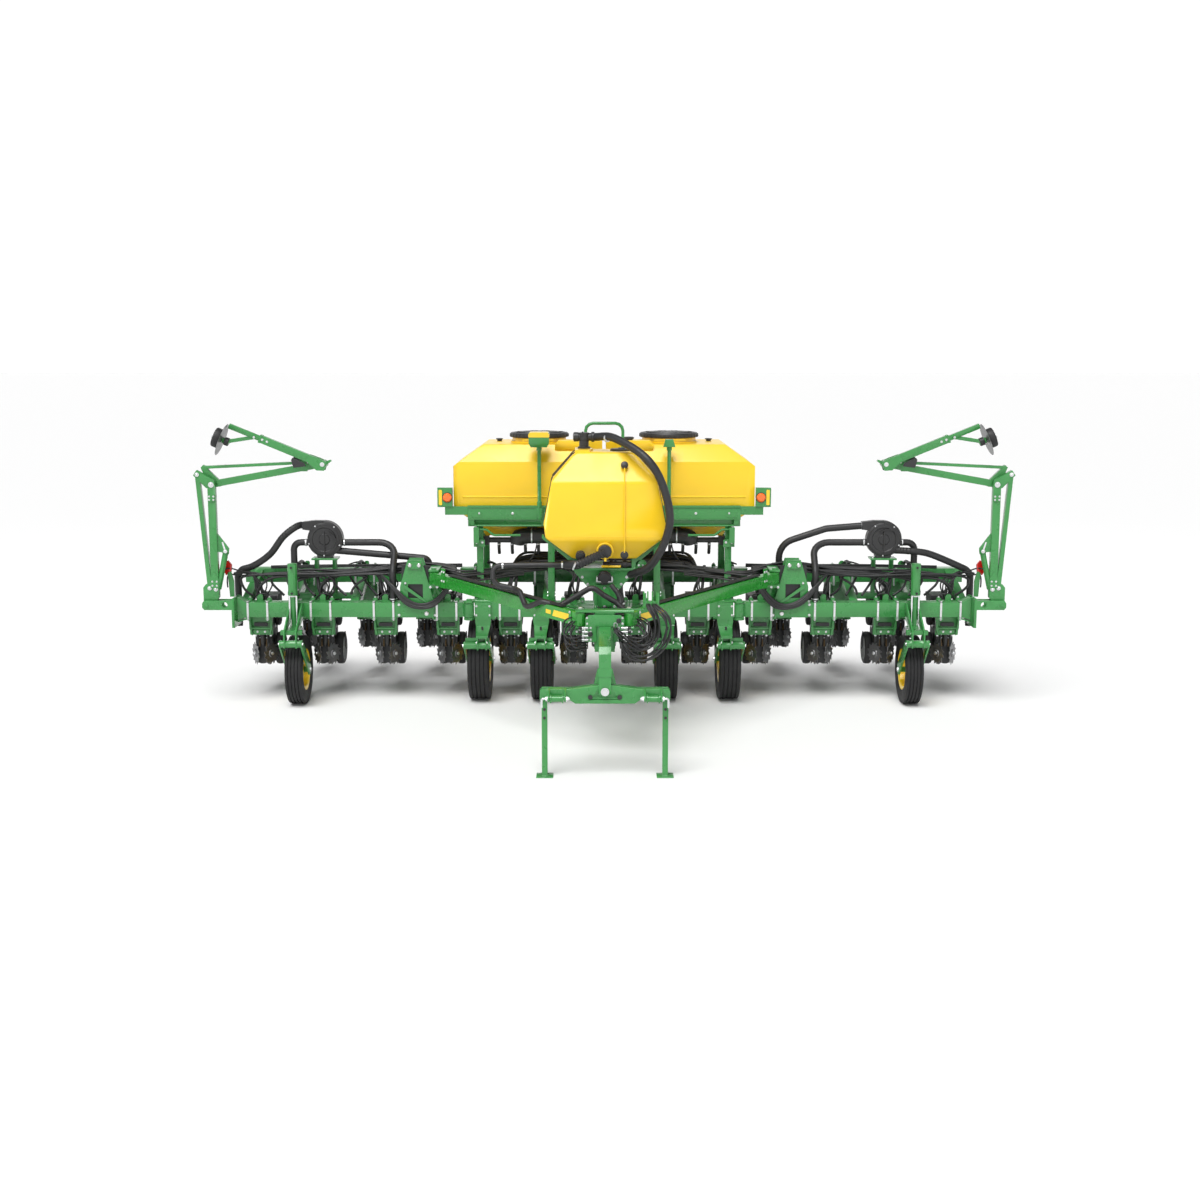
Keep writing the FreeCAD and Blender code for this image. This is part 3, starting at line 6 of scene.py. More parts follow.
import bmesh
import bpy
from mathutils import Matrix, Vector


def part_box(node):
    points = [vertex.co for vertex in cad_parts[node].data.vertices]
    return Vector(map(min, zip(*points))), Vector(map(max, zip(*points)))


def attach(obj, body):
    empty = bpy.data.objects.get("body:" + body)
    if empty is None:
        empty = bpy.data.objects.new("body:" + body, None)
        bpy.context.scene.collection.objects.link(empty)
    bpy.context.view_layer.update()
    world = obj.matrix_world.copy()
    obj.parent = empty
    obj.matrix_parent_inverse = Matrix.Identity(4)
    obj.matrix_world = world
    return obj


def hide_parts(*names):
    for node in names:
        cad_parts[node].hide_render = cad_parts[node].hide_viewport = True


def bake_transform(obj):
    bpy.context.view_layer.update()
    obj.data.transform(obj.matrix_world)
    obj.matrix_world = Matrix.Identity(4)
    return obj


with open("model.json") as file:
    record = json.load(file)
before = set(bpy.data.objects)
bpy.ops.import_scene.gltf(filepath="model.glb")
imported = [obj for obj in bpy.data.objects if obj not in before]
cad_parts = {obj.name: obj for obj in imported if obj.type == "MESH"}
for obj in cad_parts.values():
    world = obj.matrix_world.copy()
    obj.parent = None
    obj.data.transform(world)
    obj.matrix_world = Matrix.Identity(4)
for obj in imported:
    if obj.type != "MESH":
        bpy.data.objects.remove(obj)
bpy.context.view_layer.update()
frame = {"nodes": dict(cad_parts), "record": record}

random.seed(7)
NODES = frame["nodes"]
SIDES = (("left", 1), ("right", -1))
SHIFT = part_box("centre_rear_bar")[0].y - 1.100      # from the bar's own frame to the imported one
OUT, AHEAD, BACK, UP, DOWN = (1, 0, 0), (0, -1, 0), (0, 1, 0), (0, 0, 1), (0, 0, -1)

# The machine's own sizes, in millimetres in the tool bar's frame: front face of the bar at y = 0.
ROW = 762
BAR = 178
BAR_LOW, BAR_HIGH = 1061, 1239
REAR_Y, REAR_LOW, REAR_HIGH = 1100, 1323, 1501
CENTRE_END, WING_END = 1711, 4800       # the units of the centre, and of a wing, lie within these x
CENTRE_AXLE, WING_AXLE = (292, 494), (16, 415)      # y and z
WING_WHEEL_X = 5 * ROW - 95
HITCH_FACE = -3383              # front of the hitch beam
HITCH_Y = -3323
HITCH_BALL = (482.5, 832)       # x and z
CROSS_Y = -2420
LINK_START, LINK_END = (254, CROSS_Y, 1463), (2033, -170, 1567)
TANK_Y = -1250                  # middle of the front tank
TANK_FACE = TANK_Y - 480
TANK_TOP = 3160
LID = (800, 780, 3190)
MAST_X = 775
LAMP_X, LAMP_Z = 1908, 2510
DUCT_Y, DUCT_Z = 285, 2020
FAN_X, FAN_Y, FAN_Z = 3421, 420, 1963
INNER_RAIL, OUTER_RAIL = 2150, 4385
UNIT_INLET = 1076               # height where an air hose enters its seed meter

WELD, ROLLED_EDGE, MOULDED_EDGE = 0.00005, 0.0035, 0.016        # metres
SMOOTH_BELOW = math.radians(34)         # faces that meet at less than this are shaded as one


def at(x, y, z):
    """A point in millimetres in the tool bar's frame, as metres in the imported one."""
    return Vector((x / 1000, y / 1000 + SHIFT, z / 1000))


# ---- materials ----------------------------------------------------------------------------------
def fill(tree, n, **inputs):
    """Sets inputs of a shader node; a value that is a socket is linked instead."""
    for key, value in inputs.items():
        socket = n.inputs[key.replace("_", " ")]
        if isinstance(value, bpy.types.NodeSocket):
            tree.links.new(value, socket)
        else:
            socket.default_value = value
    return n


def node(tree, kind, **inputs):
    """A new shader node with these inputs."""
    n = tree.nodes.new(kind)
    n.location.x = -220 * len(tree.nodes)
    return fill(tree, n, **inputs)


def ramp(tree, source, *stops):
    """Colour ramp over a source; a stop is its place and its colour."""
    n = node(tree, "ShaderNodeValToRGB", Fac=source)
    elements = n.color_ramp.elements
    while len(elements) < len(stops):
        elements.new(0.5)
    for element, (place, colour) in zip(elements, stops):
        element.position = place
        element.color = (*colour, 1)
    return n.outputs["Color"]


def grey(value):
    return (value,) * 3


def shade(colour, factor):
    return tuple(min(1, c * factor) for c in colour)


MAT, SLOT_OF, SLOT_MAT = {}, {}, {}


def finish(key, slot, name, colour, rough=(0.3, 0.5), scale=3.0, vary=0.08, dirt=0.0, soil=(0.20, 0.17, 0.12),
           bump=0.05, bump_scale=60.0, metal=0.0, coat=0.0, spec=0.5, dust=0.0):
    """Principled material with colour drift, grime, settled dust, uneven gloss and a fine bump."""
    m = bpy.data.materials.new(name)
    m.use_nodes = True
    t = m.node_tree
    place = node(t, "ShaderNodeTexCoord").outputs["Object"]

    def noise(scale, detail, rough):
        n = node(t, "ShaderNodeTexNoise", Vector=place, Scale=scale, Detail=detail, Roughness=rough)
        return n.outputs["Fac"]

    def over(base, mask, colour):
        return node(t, "ShaderNodeMixRGB", Fac=mask, Color1=base, Color2=(*colour, 1)).outputs["Color"]

    base = ramp(t, noise(scale, 5, 0.6), (0.3, shade(colour, 1 - vary)), (0.5, colour),
                (0.7, shade(colour, 1 + vary)))
    if dirt > 0:
        base = over(base, ramp(t, noise(scale * 2.3, 8, 0.7), (0.5, grey(0)), (0.8, grey(dirt))), soil)
    if dust > 0:
        normal = node(t, "ShaderNodeNewGeometry").outputs["Normal"]
        upward = node(t, "ShaderNodeSeparateXYZ", Vector=normal).outputs["Z"]
        base = over(base, ramp(t, upward, (0.6, grey(0)), (1, grey(dust))), shade(soil, 1.8))
    gloss = ramp(t, noise(scale * 4, 4, 0.6), (0.3, grey(rough[0])), (0.7, grey(rough[1])))
    fine = node(t, "ShaderNodeBump", Strength=bump, Distance=0.004, Height=noise(bump_scale, 4, 0.55))
    fill(t, t.nodes["Principled BSDF"], Metallic=metal, Coat_Weight=coat, Coat_Roughness=0.12,
         Specular_IOR_Level=spec, Base_Color=base, Roughness=gloss, Normal=fine.outputs["Normal"])
    MAT[key] = m
    SLOT_OF[key] = slot
    SLOT_MAT.setdefault(slot, m)


BROWN = (0.050, 0.046, 0.042)
finish("green", "green_paint", "green_enamel", (0.040, 0.245, 0.058), (0.24, 0.36), 1.6, 0.06, 0.05,
       bump=0.04, bump_scale=45, coat=0.35)
finish("bright_green", "green_paint", "green_enamel_bright", (0.018, 0.250, 0.024), (0.20, 0.32), 2.5, 0.06,
       0.03, bump=0.04, bump_scale=45, coat=0.5)
finish("tank", "yellow_tank", "yellow_moulded_plastic", (0.90, 0.58, 0.016), (0.28, 0.40), 1.4, 0.03, 0.03,
       (0.60, 0.42, 0.05), 0.08, 300, coat=0.12)
finish("yellow", "yellow_paint", "yellow_enamel", (0.90, 0.60, 0.020), (0.25, 0.38), 3, 0.05, 0.06, coat=0.4)
finish("casting", "black_casting", "black_casting", (0.018, 0.019, 0.020), (0.34, 0.52), 5, 0.2, 0.05, BROWN,
       0.35, 140)
finish("plastic", "black_plastic", "black_moulded_plastic", (0.024, 0.024, 0.025), (0.36, 0.50), 4, 0.12,
       0.08, BROWN, 0.12, 260, dust=0.10)
finish("hose", "black_hose", "black_rubber_hose", (0.020, 0.020, 0.021), (0.38, 0.55), 6, 0.15, 0.04, BROWN,
       0.15, 400)
finish("tyre", "tyre_rubber", "tyre_rubber", (0.012, 0.012, 0.013), (0.55, 0.72), 6, 0.15, 0.12, BROWN, 0.35,
       120, spec=0.4)
finish("wheel_rubber", "wheel_rubber", "small_wheel_rubber", (0.022, 0.022, 0.023), (0.45, 0.62), 8, 0.15,
       0.15, BROWN, 0.25, 160, spec=0.4)
finish("dark_steel", "bright_steel", "ground_worked_steel", (0.20, 0.20, 0.205), (0.30, 0.46), 9, 0.15, 0.08,
       BROWN, 0.2, 180, 0.75)
finish("steel", "bright_steel", "zinc_plated_steel", (0.72, 0.73, 0.74), (0.25, 0.40), 9, 0.08, 0.06,
       (0.30, 0.28, 0.25), 0.08, 300, 0.85)
finish("chrome", "bright_steel", "chromed_rod", (0.85, 0.86, 0.87), (0.06, 0.14), 12, 0.03, 0.03,
       (0.4, 0.38, 0.35), 0.01, 300, 1)
finish("brass", "bright_steel", "bronzed_spring", (0.20, 0.14, 0.08), (0.25, 0.4), 12, 0.1, 0.1, BROWN, 0.05,
       200, 0.8)
finish("label", "yellow_paint", "blank_label_yellow", (0.92, 0.62, 0.03), (0.35, 0.45), 6, 0.03, 0.03,
       bump=0.02)
finish("orange", "black_plastic", "amber_lens", (0.90, 0.16, 0.01), (0.10, 0.18), 10, 0.05, bump_scale=300,
       coat=0.6)
finish("red", "black_plastic", "red_lens", (0.60, 0.015, 0.012), (0.10, 0.18), 10, 0.05, bump_scale=300,
       coat=0.6)
finish("grey", "black_plastic", "grey_plastic", (0.30, 0.31, 0.31), (0.35, 0.5), 6, 0.1, 0.08, bump=0.06,
       bump_scale=240)


def round_edges(obj, name, width, segments, angle):
    """Bevel of the edges whose faces meet at more than the angle, in degrees."""
    bevel = obj.modifiers.new(name, "BEVEL")
    bevel.limit_method = "ANGLE"
    bevel.angle_limit = math.radians(angle)
    bevel.width = width
    bevel.segments = segments
    return bevel


def dress_cad_nodes():
    """Materials of the CAD nodes, with the rounded edges of rolled, cast or moulded parts."""
    for part in frame["record"]["subparts"]:
        obj = NODES[part["node"]]
        obj.data.materials.clear()
        obj.data.materials.append(SLOT_MAT[part["material_slot"]])
        for face in obj.data.polygons:
            face.use_smooth = True
        obj.modifiers.new("weld", "WELD").merge_threshold = WELD
        moulded = part["node"].endswith("_tank")
        width, segments = (MOULDED_EDGE, 3) if moulded else (ROLLED_EDGE, 2)
        round_edges(obj, "edges", width, segments, 28).harden_normals = True
    for side, _ in SIDES:
        NODES[side + "_draft_link"].data.materials[0] = MAT["bright_green"]
    for section in ("centre", "left_wing", "right_wing"):
        data = NODES[section + "_row_units"].data
        data.materials.append(MAT["green"])
        for face in data.polygons:              # the heads that bolt to the bars are painted green
            y = (face.center.y - SHIFT) * 1000
            if any(back - 1 < y < back + 31 for back in (BAR, REAR_Y + BAR)):
                face.material_index = 1


# ---- mesh tools ---------------------------------------------------------------------------------
def grid(*spans):
    """Each pairing of the values given for x, y and z; a single number stands for itself."""
    return product(*(s if isinstance(s, (tuple, range)) else (s,) for s in spans))


def around(centre, u, v, radius, count, turn=0.0):
    """Points spaced evenly on a circle that runs from direction u towards v."""
    turns = (turn + 2 * math.pi * k / count for k in range(count))
    return [Vector(centre) + Vector(u) * (radius * math.cos(a)) + Vector(v) * (radius * math.sin(a))
            for a in turns]


def fillet(route, bend, cuts=6):
    """Route with each corner rounded by chords of an arc of radius bend."""
    points = [Vector(p) for p in route]
    line = [points[0]]
    for before, corner, after in zip(points, points[1:], points[2:]):
        back = (before - corner).normalized()
        ahead = (after - corner).normalized()
        half = back.angle(ahead) / 2
        if half > math.radians(88):
            line.append(corner)
            continue
        reach = min(bend / math.tan(half), (before - corner).length * 0.49, (after - corner).length * 0.49)
        radius = reach * math.tan(half)
        centre = corner + (back + ahead).normalized() * (radius / math.sin(half))
        first = corner + back * reach - centre
        last = corner + ahead * reach - centre
        sweep = first.angle(last)
        for k in range(cuts + 1):
            part = k / cuts
            arm = first * math.sin((1 - part) * sweep) + last * math.sin(part * sweep)
            line.append(centre + arm / math.sin(sweep))
    return line + [points[-1]]


def smooth(route, steps=6):
    """Catmull-Rom curve through the points, for a hose that hangs in one easy sweep."""
    pts = [Vector(p) for p in route]
    pts = [pts[0] * 2 - pts[1]] + pts + [pts[-1] * 2 - pts[-2]]
    line = []
    for k in range(1, len(pts) - 2):
        a, b, c, d = pts[k - 1:k + 3]
        for t in (j / steps for j in range(steps)):
            line.append((b * 2 + (c - a) * t + (a * 2 - b * 5 + c * 4 - d) * t * t
                         + (b * 3 - a - c * 3 + d) * t ** 3) / 2)
    return line + [pts[-2]]


def spaced(line, step):
    """Points along a line, evenly spaced by about the step."""
    out = [line[0]]
    for a, b in zip(line, line[1:]):
        count = max(1, round((b - a).length / step))
        out.extend(a.lerp(b, k / count) for k in range(1, count + 1))
    return out


class Kit:
    """Solids of one material on one body, gathered into a single piece; millimetres in the bar's frame."""

    def __init__(self, name, body, material, flip=1, place=(0, 0, 0)):
        self.name, self.body, self.material, self.flip = name, body, material, flip
        self.mesh = bmesh.new()
        self.offset = Vector(place)         # what is added is measured from here

    def vert(self, p):
        q = Vector(p) + self.offset
        return self.mesh.verts.new(at(self.flip * q.x, q.y, q.z))

    def skin(self, rings, closed=False):
        """Skin through rings of points; the ends are capped unless the rings close on themselves."""
        rows = [[self.vert(p) for p in ring] for ring in rings]
        for low, high in zip(rows, rows[1:] + rows[:closed]):
            for j in range(len(low)):
                k = (j + 1) % len(low)
                self.mesh.faces.new((low[j], low[k], high[k], high[j]))
        if not closed:
            self.mesh.faces.new(rows[0])
            self.mesh.faces.new(rows[-1])

    def plate(self, outline, axis, low, high):
        """Outline of two coordinates, run along an axis."""
        place = "xyz".index(axis)
        self.skin([[(*p[:place], w, *p[place:]) for p in outline] for w in (low, high)])

    def block(self, x0, x1, y0, y1, z0, z1, edge=0):
        """Box; an edge width cuts its four corners about the y axis."""
        e = edge
        outline = [(x0, z0), (x1, z0), (x1, z1), (x0, z1)]
        if e:
            outline = [(x0 + e, z0), (x1 - e, z0), (x1, z0 + e), (x1, z1 - e), (x1 - e, z1), (x0 + e, z1),
                       (x0, z1 - e), (x0, z0 + e)]
        self.plate(outline, "y", y0, y1)

    def ring(self, centre, axis, radius, sides, turn=0.0):
        w = Vector(axis).normalized()
        u = w.orthogonal().normalized() if abs(w.z) > 0.99 else w.cross(Vector(UP)).normalized()
        return around(centre, u, w.cross(u), radius, sides, turn)

    def lathe(self, centre, axis, profile, sides=24, closed=False):
        """Turned form: a profile of (radius, distance along the axis)."""
        w = Vector(axis).normalized()
        self.skin([self.ring(Vector(centre) + w * s, w, max(r, 0.5), sides) for r, s in profile], closed)

    def band(self, place, axis, inner, outer, half, sides):
        """Hose clamp: a ring with chamfered rims, half as wide on each side of its place."""
        self.lathe(place, axis, [(inner, -half), (outer, 2 - half), (outer, half - 2), (inner, half)], sides)

    def rod(self, a, b, radius, sides=12):
        axis = Vector(b) - Vector(a)
        self.skin([self.ring(p, axis, radius, sides) for p in (a, b)])

    def tube(self, route, radius, sides=10, bend=80, ribs=0.0, pitch=24.0):
        """Tube along a route with rounded corners; ribs swell every other ring of a ribbed hose."""
        line = fillet(route, bend)
        if ribs:
            line = spaced(line, pitch / 2)
        u = (line[1] - line[0]).normalized().orthogonal().normalized()
        rings = []
        for k, p in enumerate(line):
            w = (line[min(k + 1, len(line) - 1)] - line[max(k - 1, 0)]).normalized()
            u = (u - w * u.dot(w)).normalized()
            rings.append(around(p, u, w.cross(u), radius + (ribs if k % 2 else 0), sides))
        self.skin(rings)

    def bolt(self, axis, radius, height, *places):
        """Hexagon head on its washer, at each place."""
        w = Vector(axis).normalized()
        for place in map(Vector, places):
            self.skin([self.ring(place + w * s, w, radius * 1.35, 12) for s in (-1, 3)])
            self.skin([self.ring(place + w * s, w, r, 6) for r, s in
                       ((radius, 3), (radius, height), (radius * 0.8, height + 2))])

    def made(self):
        bmesh.ops.recalc_face_normals(self.mesh, faces=self.mesh.faces)
        for edge in self.mesh.edges:
            edge.smooth = edge.is_manifold and edge.calc_face_angle(0) < SMOOTH_BELOW
        for face in self.mesh.faces:
            face.smooth = True
        data = bpy.data.meshes.new(self.name)
        self.mesh.to_mesh(data)
        self.mesh.free()
        return shown(data, self.material)

    def done(self, *replaced):
        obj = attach(self.made(), self.body)
        if replaced:
            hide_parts(*replaced)
        return obj


def shown(data, material):
    """Object of a mesh or a curve, with its material."""
    data.materials.append(MAT[material])
    obj = bpy.data.objects.new(data.name, data)
    bpy.context.scene.collection.objects.link(obj)
    return obj


def kits(body, prefix="", flip=1, place=(0, 0, 0), **names):
    """A kit for each material=name, all on one body."""
    return [Kit(prefix + name, body, material, flip, place) for material, name in names.items()]


def done(*pieces):
    for kit in pieces:
        kit.done()


def mirrored(*pieces):
    """Left, then right: what is added to the kits is mirrored to that side."""
    for sign in (1, -1):
        for kit in pieces:
            kit.flip = sign
        yield sign


def spline(name, routes, order, radius=0.0, facets=2, steps=12):
    """Smooth curves with these control points; a radius in millimetres makes them round hoses."""
    data = bpy.data.curves.new(name, "CURVE")
    data.dimensions = "3D"
    data.bevel_depth = radius / 1000
    data.bevel_resolution = facets
    data.resolution_u = steps
    data.use_fill_caps = True
    for route in routes:
        line = data.splines.new("NURBS")
        line.points.add(len(route) - 1)
        for point, place in zip(line.points, route):
            point.co = (*at(*place), 1)
        line.order_u = min(order, len(route))
        line.use_endpoint_u = True
    return data


class Harness:
    """Hoses of one radius as smooth curves, gathered into one piece."""

    def __init__(self, name, body, radius, flip=1):
        self.name, self.body, self.radius, self.flip = name, body, radius, flip
        self.routes = []

    def lay(self, route, stray=0):
        self.routes.append(flipped(strayed(route, stray), self.flip))

    def done(self):
        data = spline(self.name, self.routes, 4, self.radius, 2, 5)
        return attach(shown(data, "hose"), self.body)


def strayed(route, amount):
    """The same route with its inner points moved a little, as hand-laid hoses are."""
    if not amount:
        return route
    inner = [tuple(c + random.uniform(-amount, amount) for c in p) for p in route[1:-1]]
    return [route[0], *inner, route[-1]]


def flipped(route, sign):
    return [(sign * x, y, z) for x, y, z in route]


# ---- stage, light and camera --------------------------------------------------------------------
def stage():
    bpy.ops.mesh.primitive_plane_add(size=400, location=(0, 0, 0))
    floor = bpy.context.object
    floor.name = "studio_floor"
    m = bpy.data.materials.new("studio_floor_white")
    m.use_nodes = True
    t = m.node_tree
    cloud = node(t, "ShaderNodeTexNoise", Scale=0.4).outputs["Fac"]
    fill(t, t.nodes["Principled BSDF"], Base_Color=ramp(t, cloud, (0.3, grey(0.86)), (0.7, grey(0.88))),
         Roughness=0.9, Specular_IOR_Level=0.1)
    floor.data.materials.append(m)
    world = bpy.data.worlds.new("studio")
    bpy.context.scene.world = world
    world.use_nodes = True
    t = world.node_tree
    aim = node(t, "ShaderNodeSeparateXYZ", Vector=node(t, "ShaderNodeTexCoord").outputs["Generated"])
    sky = ramp(t, aim.outputs["Z"], (0.19, grey(1)), (0.4, grey(0.18)))     # white near the horizon
    fill(t, t.nodes["Background"], Color=sky, Strength=1.08)
    bpy.context.scene.view_settings.view_transform = "Standard"


def placed(name, data, place, turn):
    obj = bpy.data.objects.new(name, data)
    obj.location = place
    obj.rotation_euler = turn
    bpy.context.scene.collection.objects.link(obj)
    return obj


def lamp(name, place, aim, size, power):
    data = bpy.data.lights.new(name, "AREA")
    data.shape = "RECTANGLE"
    data.size, data.size_y = size
    data.energy = power
    placed(name, data, place, (Vector(aim) - Vector(place)).to_track_quat("-Z", "Y").to_euler())


def sky_lamp(name, direction, power, spread):
    """Light from all over the scene in one direction; a wide spread softens its shadows."""
    data = bpy.data.lights.new(name, "SUN")
    data.energy = power
    data.angle = spread
    placed(name, data, (0, 0, 0), Vector(direction).to_track_quat("-Z", "Y").to_euler())


def camera():
    """Where the photograph was taken from: straight ahead of the machine, looking down a little."""
    data = bpy.data.cameras.new("camera")
    data.sensor_width = 36
    data.lens = 36 * 1600 / 1200            # the photograph's focal length, 1600 in its 1200 units of width
    data.clip_end = 400
    tilt = math.radians(90 - 9.23)
    bpy.context.scene.camera = placed("camera", data, (-0.05, -19.082 + SHIFT, 4.372), (tilt, 0, 0))


# ---- hydraulic hoses at the hitch: free loops between the comb and the plate of couplings --------
INNER_LOOP = [(455, CROSS_Y - 58, 1625), (455, CROSS_Y - 118, 1625), (560, CROSS_Y - 175, 1480),
              (540, CROSS_Y - 175, 1280), (400, CROSS_Y - 175, 1160), (270, CROSS_Y - 185, 1230),
              (112, CROSS_Y - 205, 1380), (112, CROSS_Y - 105, 1380)]
OUTER_LOOP = [(520, CROSS_Y - 58, 1625), (520, CROSS_Y - 128, 1625), (680, CROSS_Y - 235, 1500),
              (650, CROSS_Y - 235, 1250), (460, CROSS_Y - 235, 1070), (260, CROSS_Y - 235, 1090),
              (168, CROSS_Y - 205, 1265), (168, CROSS_Y - 105, 1265)]
LOOP_HOSE = 20                  # outer diameter of one hose of a bundle


def line_length(points):
    """Length of the smooth line of a spline with these control points, in metres."""
    data = spline("measure", [points], 3)
    obj = bpy.data.objects.new("measure", data)
    mesh = bpy.data.meshes.new_from_object(obj)
    line = [v.co for v in mesh.vertices]
    length = sum((b - a).length for a, b in zip(line, line[1:]))
    bpy.data.objects.remove(obj)
    bpy.data.meshes.remove(mesh)
    bpy.data.curves.remove(data)
    return length


def hitch_loops():
    """Each bundle is four hoses that fan out a little in the loop."""
    for bundle, loop in (("inner", INNER_LOOP), ("outer", OUTER_LOOP)):
        last = len(loop) - 1
        for k, (dx, dy) in enumerate(((-12, -12), (12, -12), (-12, 12), (12, 12))):
            points = []
            for j, (x, y, z) in enumerate(loop):
                middle = math.sin(math.pi * j / last)
                free = 0 < j < last
                points.append((x + dx * (1 + 0.9 * middle), y + dy * free,
                               z + dy * (0.2 + middle) + 7 * (k - 1.5) * middle * free))
            data = spline(f"{bundle}_hose_{k + 1}", [points], 3, LOOP_HOSE / 2, 3, 8)
            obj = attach(shown(data, "hose"), "tongue")
            if k == 0:
                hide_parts("hitch_hoses")
            line_length(points)


# ---- wheels -------------------------------------------------------------------------------------
def road_wheel(name, x, axle_y, radius, width):
    """Ribbed implement tyre on a dished rim with its hub and wheel bolts."""
    high = radius * math.cos(math.pi / 20)          # the CAD tyre rests on a flat
    centre = (x, axle_y, high)
    half = width / 2
    seat = half * 0.80
    bead = radius * 0.56
    lip = bead - 24
    groove = 12
    tread = [(high, -seat)]
    for s in (half * rib for rib in (-0.56, -0.19, 0.19, 0.56)):
        tread += [(high, s - 7), (high - groove, s - 4), (high - groove, s + 4), (high, s + 7)]
    side = [(high, seat), (high - 6, half * 0.89), (high - 22, half * 0.95), (high * 0.86, half * 0.99),
            (high * 0.78, half), (high * 0.68, half * 0.95), (bead + 12, half * 0.84), (bead, seat)]
    tyre, rim, steel = kits(name + "_wheel", name + "_", tyre="tyre_ribbed", yellow="rim_dished",
                            steel="wheel_bolts")
    tyre.lathe(centre, OUT, tread + side + [(r, -s) for r, s in reversed(side[1:])], 64, closed=True)
    tyre.done(name + "_tyre")
    rim.lathe(centre, OUT, [(bead + 14, -seat - 6), (bead + 16, -seat), (bead, -seat + 8), (bead, seat - 8),
                            (bead + 16, seat), (bead + 14, seat + 6), (bead - 4, seat + 2), (lip, seat - 10),
                            (lip - 14, half * 0.30), (lip - 60, half * 0.16), (110, half * 0.34),
                            (60, half * 0.36), (38, half * 0.36), (38, -half * 0.1), (110, half * 0.16),
                            (lip - 60, 0), (lip - 14, half * 0.1), (lip, -seat + 10), (bead - 4, -seat - 2)],
              48, closed=True)
    rim.done(name + "_rim")
    hub = Kit(name + "_hub", name + "_wheel", "yellow")
    hub.lathe(centre, OUT, [(62, half * 0.30), (62, half * 0.52), (48, half * 0.60), (46, half * 0.36)], 20,
              closed=True)
    disc_x = x + half * 0.35
    steel.bolt(OUT, 11, 12, *around((disc_x, axle_y, high), BACK, UP, 88, 8))
    valve = lip - 22
    steel.rod((disc_x, axle_y + valve, high), (x + half * 0.75, axle_y + valve - 12, high + 6), 5, 8)
    done(hub, steel)


def wheel_mount_detail():
    """Axle nuts, yoke caps, painted shade in the lightening slot, and the pressed pad of each wheel's mount.
    """
    steel, dark, pads = kits("frame", steel="axle_nuts", casting="painted_mount_slot_shades", green="mount_pads")
    for sign in (1, -1):
        for x, mount in ((ROW, ROW), (2 * ROW, 2 * ROW - 60)):
            for end in (-1, 1):
                steel.bolt((end, 0, 0), 26, 16, (sign * x + end * 162, *CENTRE_AXLE))
                steel.bolt((end, 0, 0), 20, 12, (sign * x + end * 162, -232, 755))
            m = sign * mount
            # Black block painted as the shade inside the lightening slot.
            dark.block(m - 12, m + 12, -158, -148, 932, 972)
            pads.plate([(m - 62, 1030), (m + 62, 1030), (m + 70, 1046), (m + 70, 1190), (m + 58, 1206),
                        (m - 58, 1206), (m - 70, 1190), (m - 70, 1046)], "y", -36, -30)
            steel.bolt(AHEAD, 10, 8, *grid((m - 78, m + 78), -31, (1090, 1200)))
            for end in (-1, 1):
                steel.bolt((end, 0, 0), 12, 9, (m + end * 60, -280, 800))
    done(steel, dark, pads)
    for side, sign in SIDES:
        nuts, rods = kits(side + "_wing", side + "_", steel="wing_wheel_nuts", chrome="lift_rods")
        x = sign * WING_WHEEL_X
        for end in (-1, 1):
            nuts.bolt((end, 0, 0), 24, 14, (x + end * 136, *WING_AXLE))
            nuts.bolt((end, 0, 0), 18, 10, (x + end * 136, -450, 815))
            nuts.bolt((end, 0, 0), 10, 8, *grid(x + end * 78, -400, (870, 930)))
        for dx in (-22, 62):
            rods.rod((x + sign * dx, -135, 950), (x + sign * dx, -125, 1345), 13, 14)
        done(nuts, rods)


# ---- row units ----------------------------------------------------------------------------------
def unit_places(low, high):
    """x, and the face and the heights of the bar, for each unit whose x lies between low and high."""
    places = []
    for count, *bar in ((12, 0, BAR_LOW, BAR_HIGH), (11, REAR_Y, REAR_LOW, REAR_HIGH)):
        for x in ((k - (count - 1) / 2) * ROW for k in range(count)):
            if low < x < high:
                places.append((x, *bar))
    return places


def row_units(name, body, node_name, low, high):
    """Fine parts of the units of a section; the gauge tyres take the place of the CAD's small wheels."""
    parts = kits(body, name + "_", wheel_rubber="gauge_tyres", grey="gauge_rims", dark_steel="opener_discs",
                 casting="castings", plastic="meters", green="bar_clamps", steel="u_bolts", brass="springs")
    rubber, rims, discs, cast, moulded, green, steel, brass = parts
    for x, face, z0, z1 in unit_places(low, high):
        for kit in parts:
            kit.offset = Vector((x, face + BAR, 0))
        unit_running_gear(rubber, rims, discs, cast, steel)
        unit_frame(cast, moulded, green, steel, brass)
        unit_clamps(green, steel, cast, z0, z1)
    rubber.done(node_name)
    done(*parts[1:])


def toothed_disc(kit, centre, axis, radius, teeth, thick):
    """Row cleaner wheel with swept teeth on a raised hub."""
    rings = []
    for c in (centre - axis * (thick / 2), centre + axis * (thick / 2)):
        tips = kit.ring(c, axis, radius, teeth * 2)
        roots = kit.ring(c, axis, radius * 0.74, teeth * 2, math.pi / teeth * 0.6)
        rings.append([(tips if j % 2 else roots)[j] for j in range(teeth * 2)])
    kit.skin(rings)
    kit.lathe(centre, axis, [(46, -14), (52, -6), (52, 6), (46, 14)], 14)


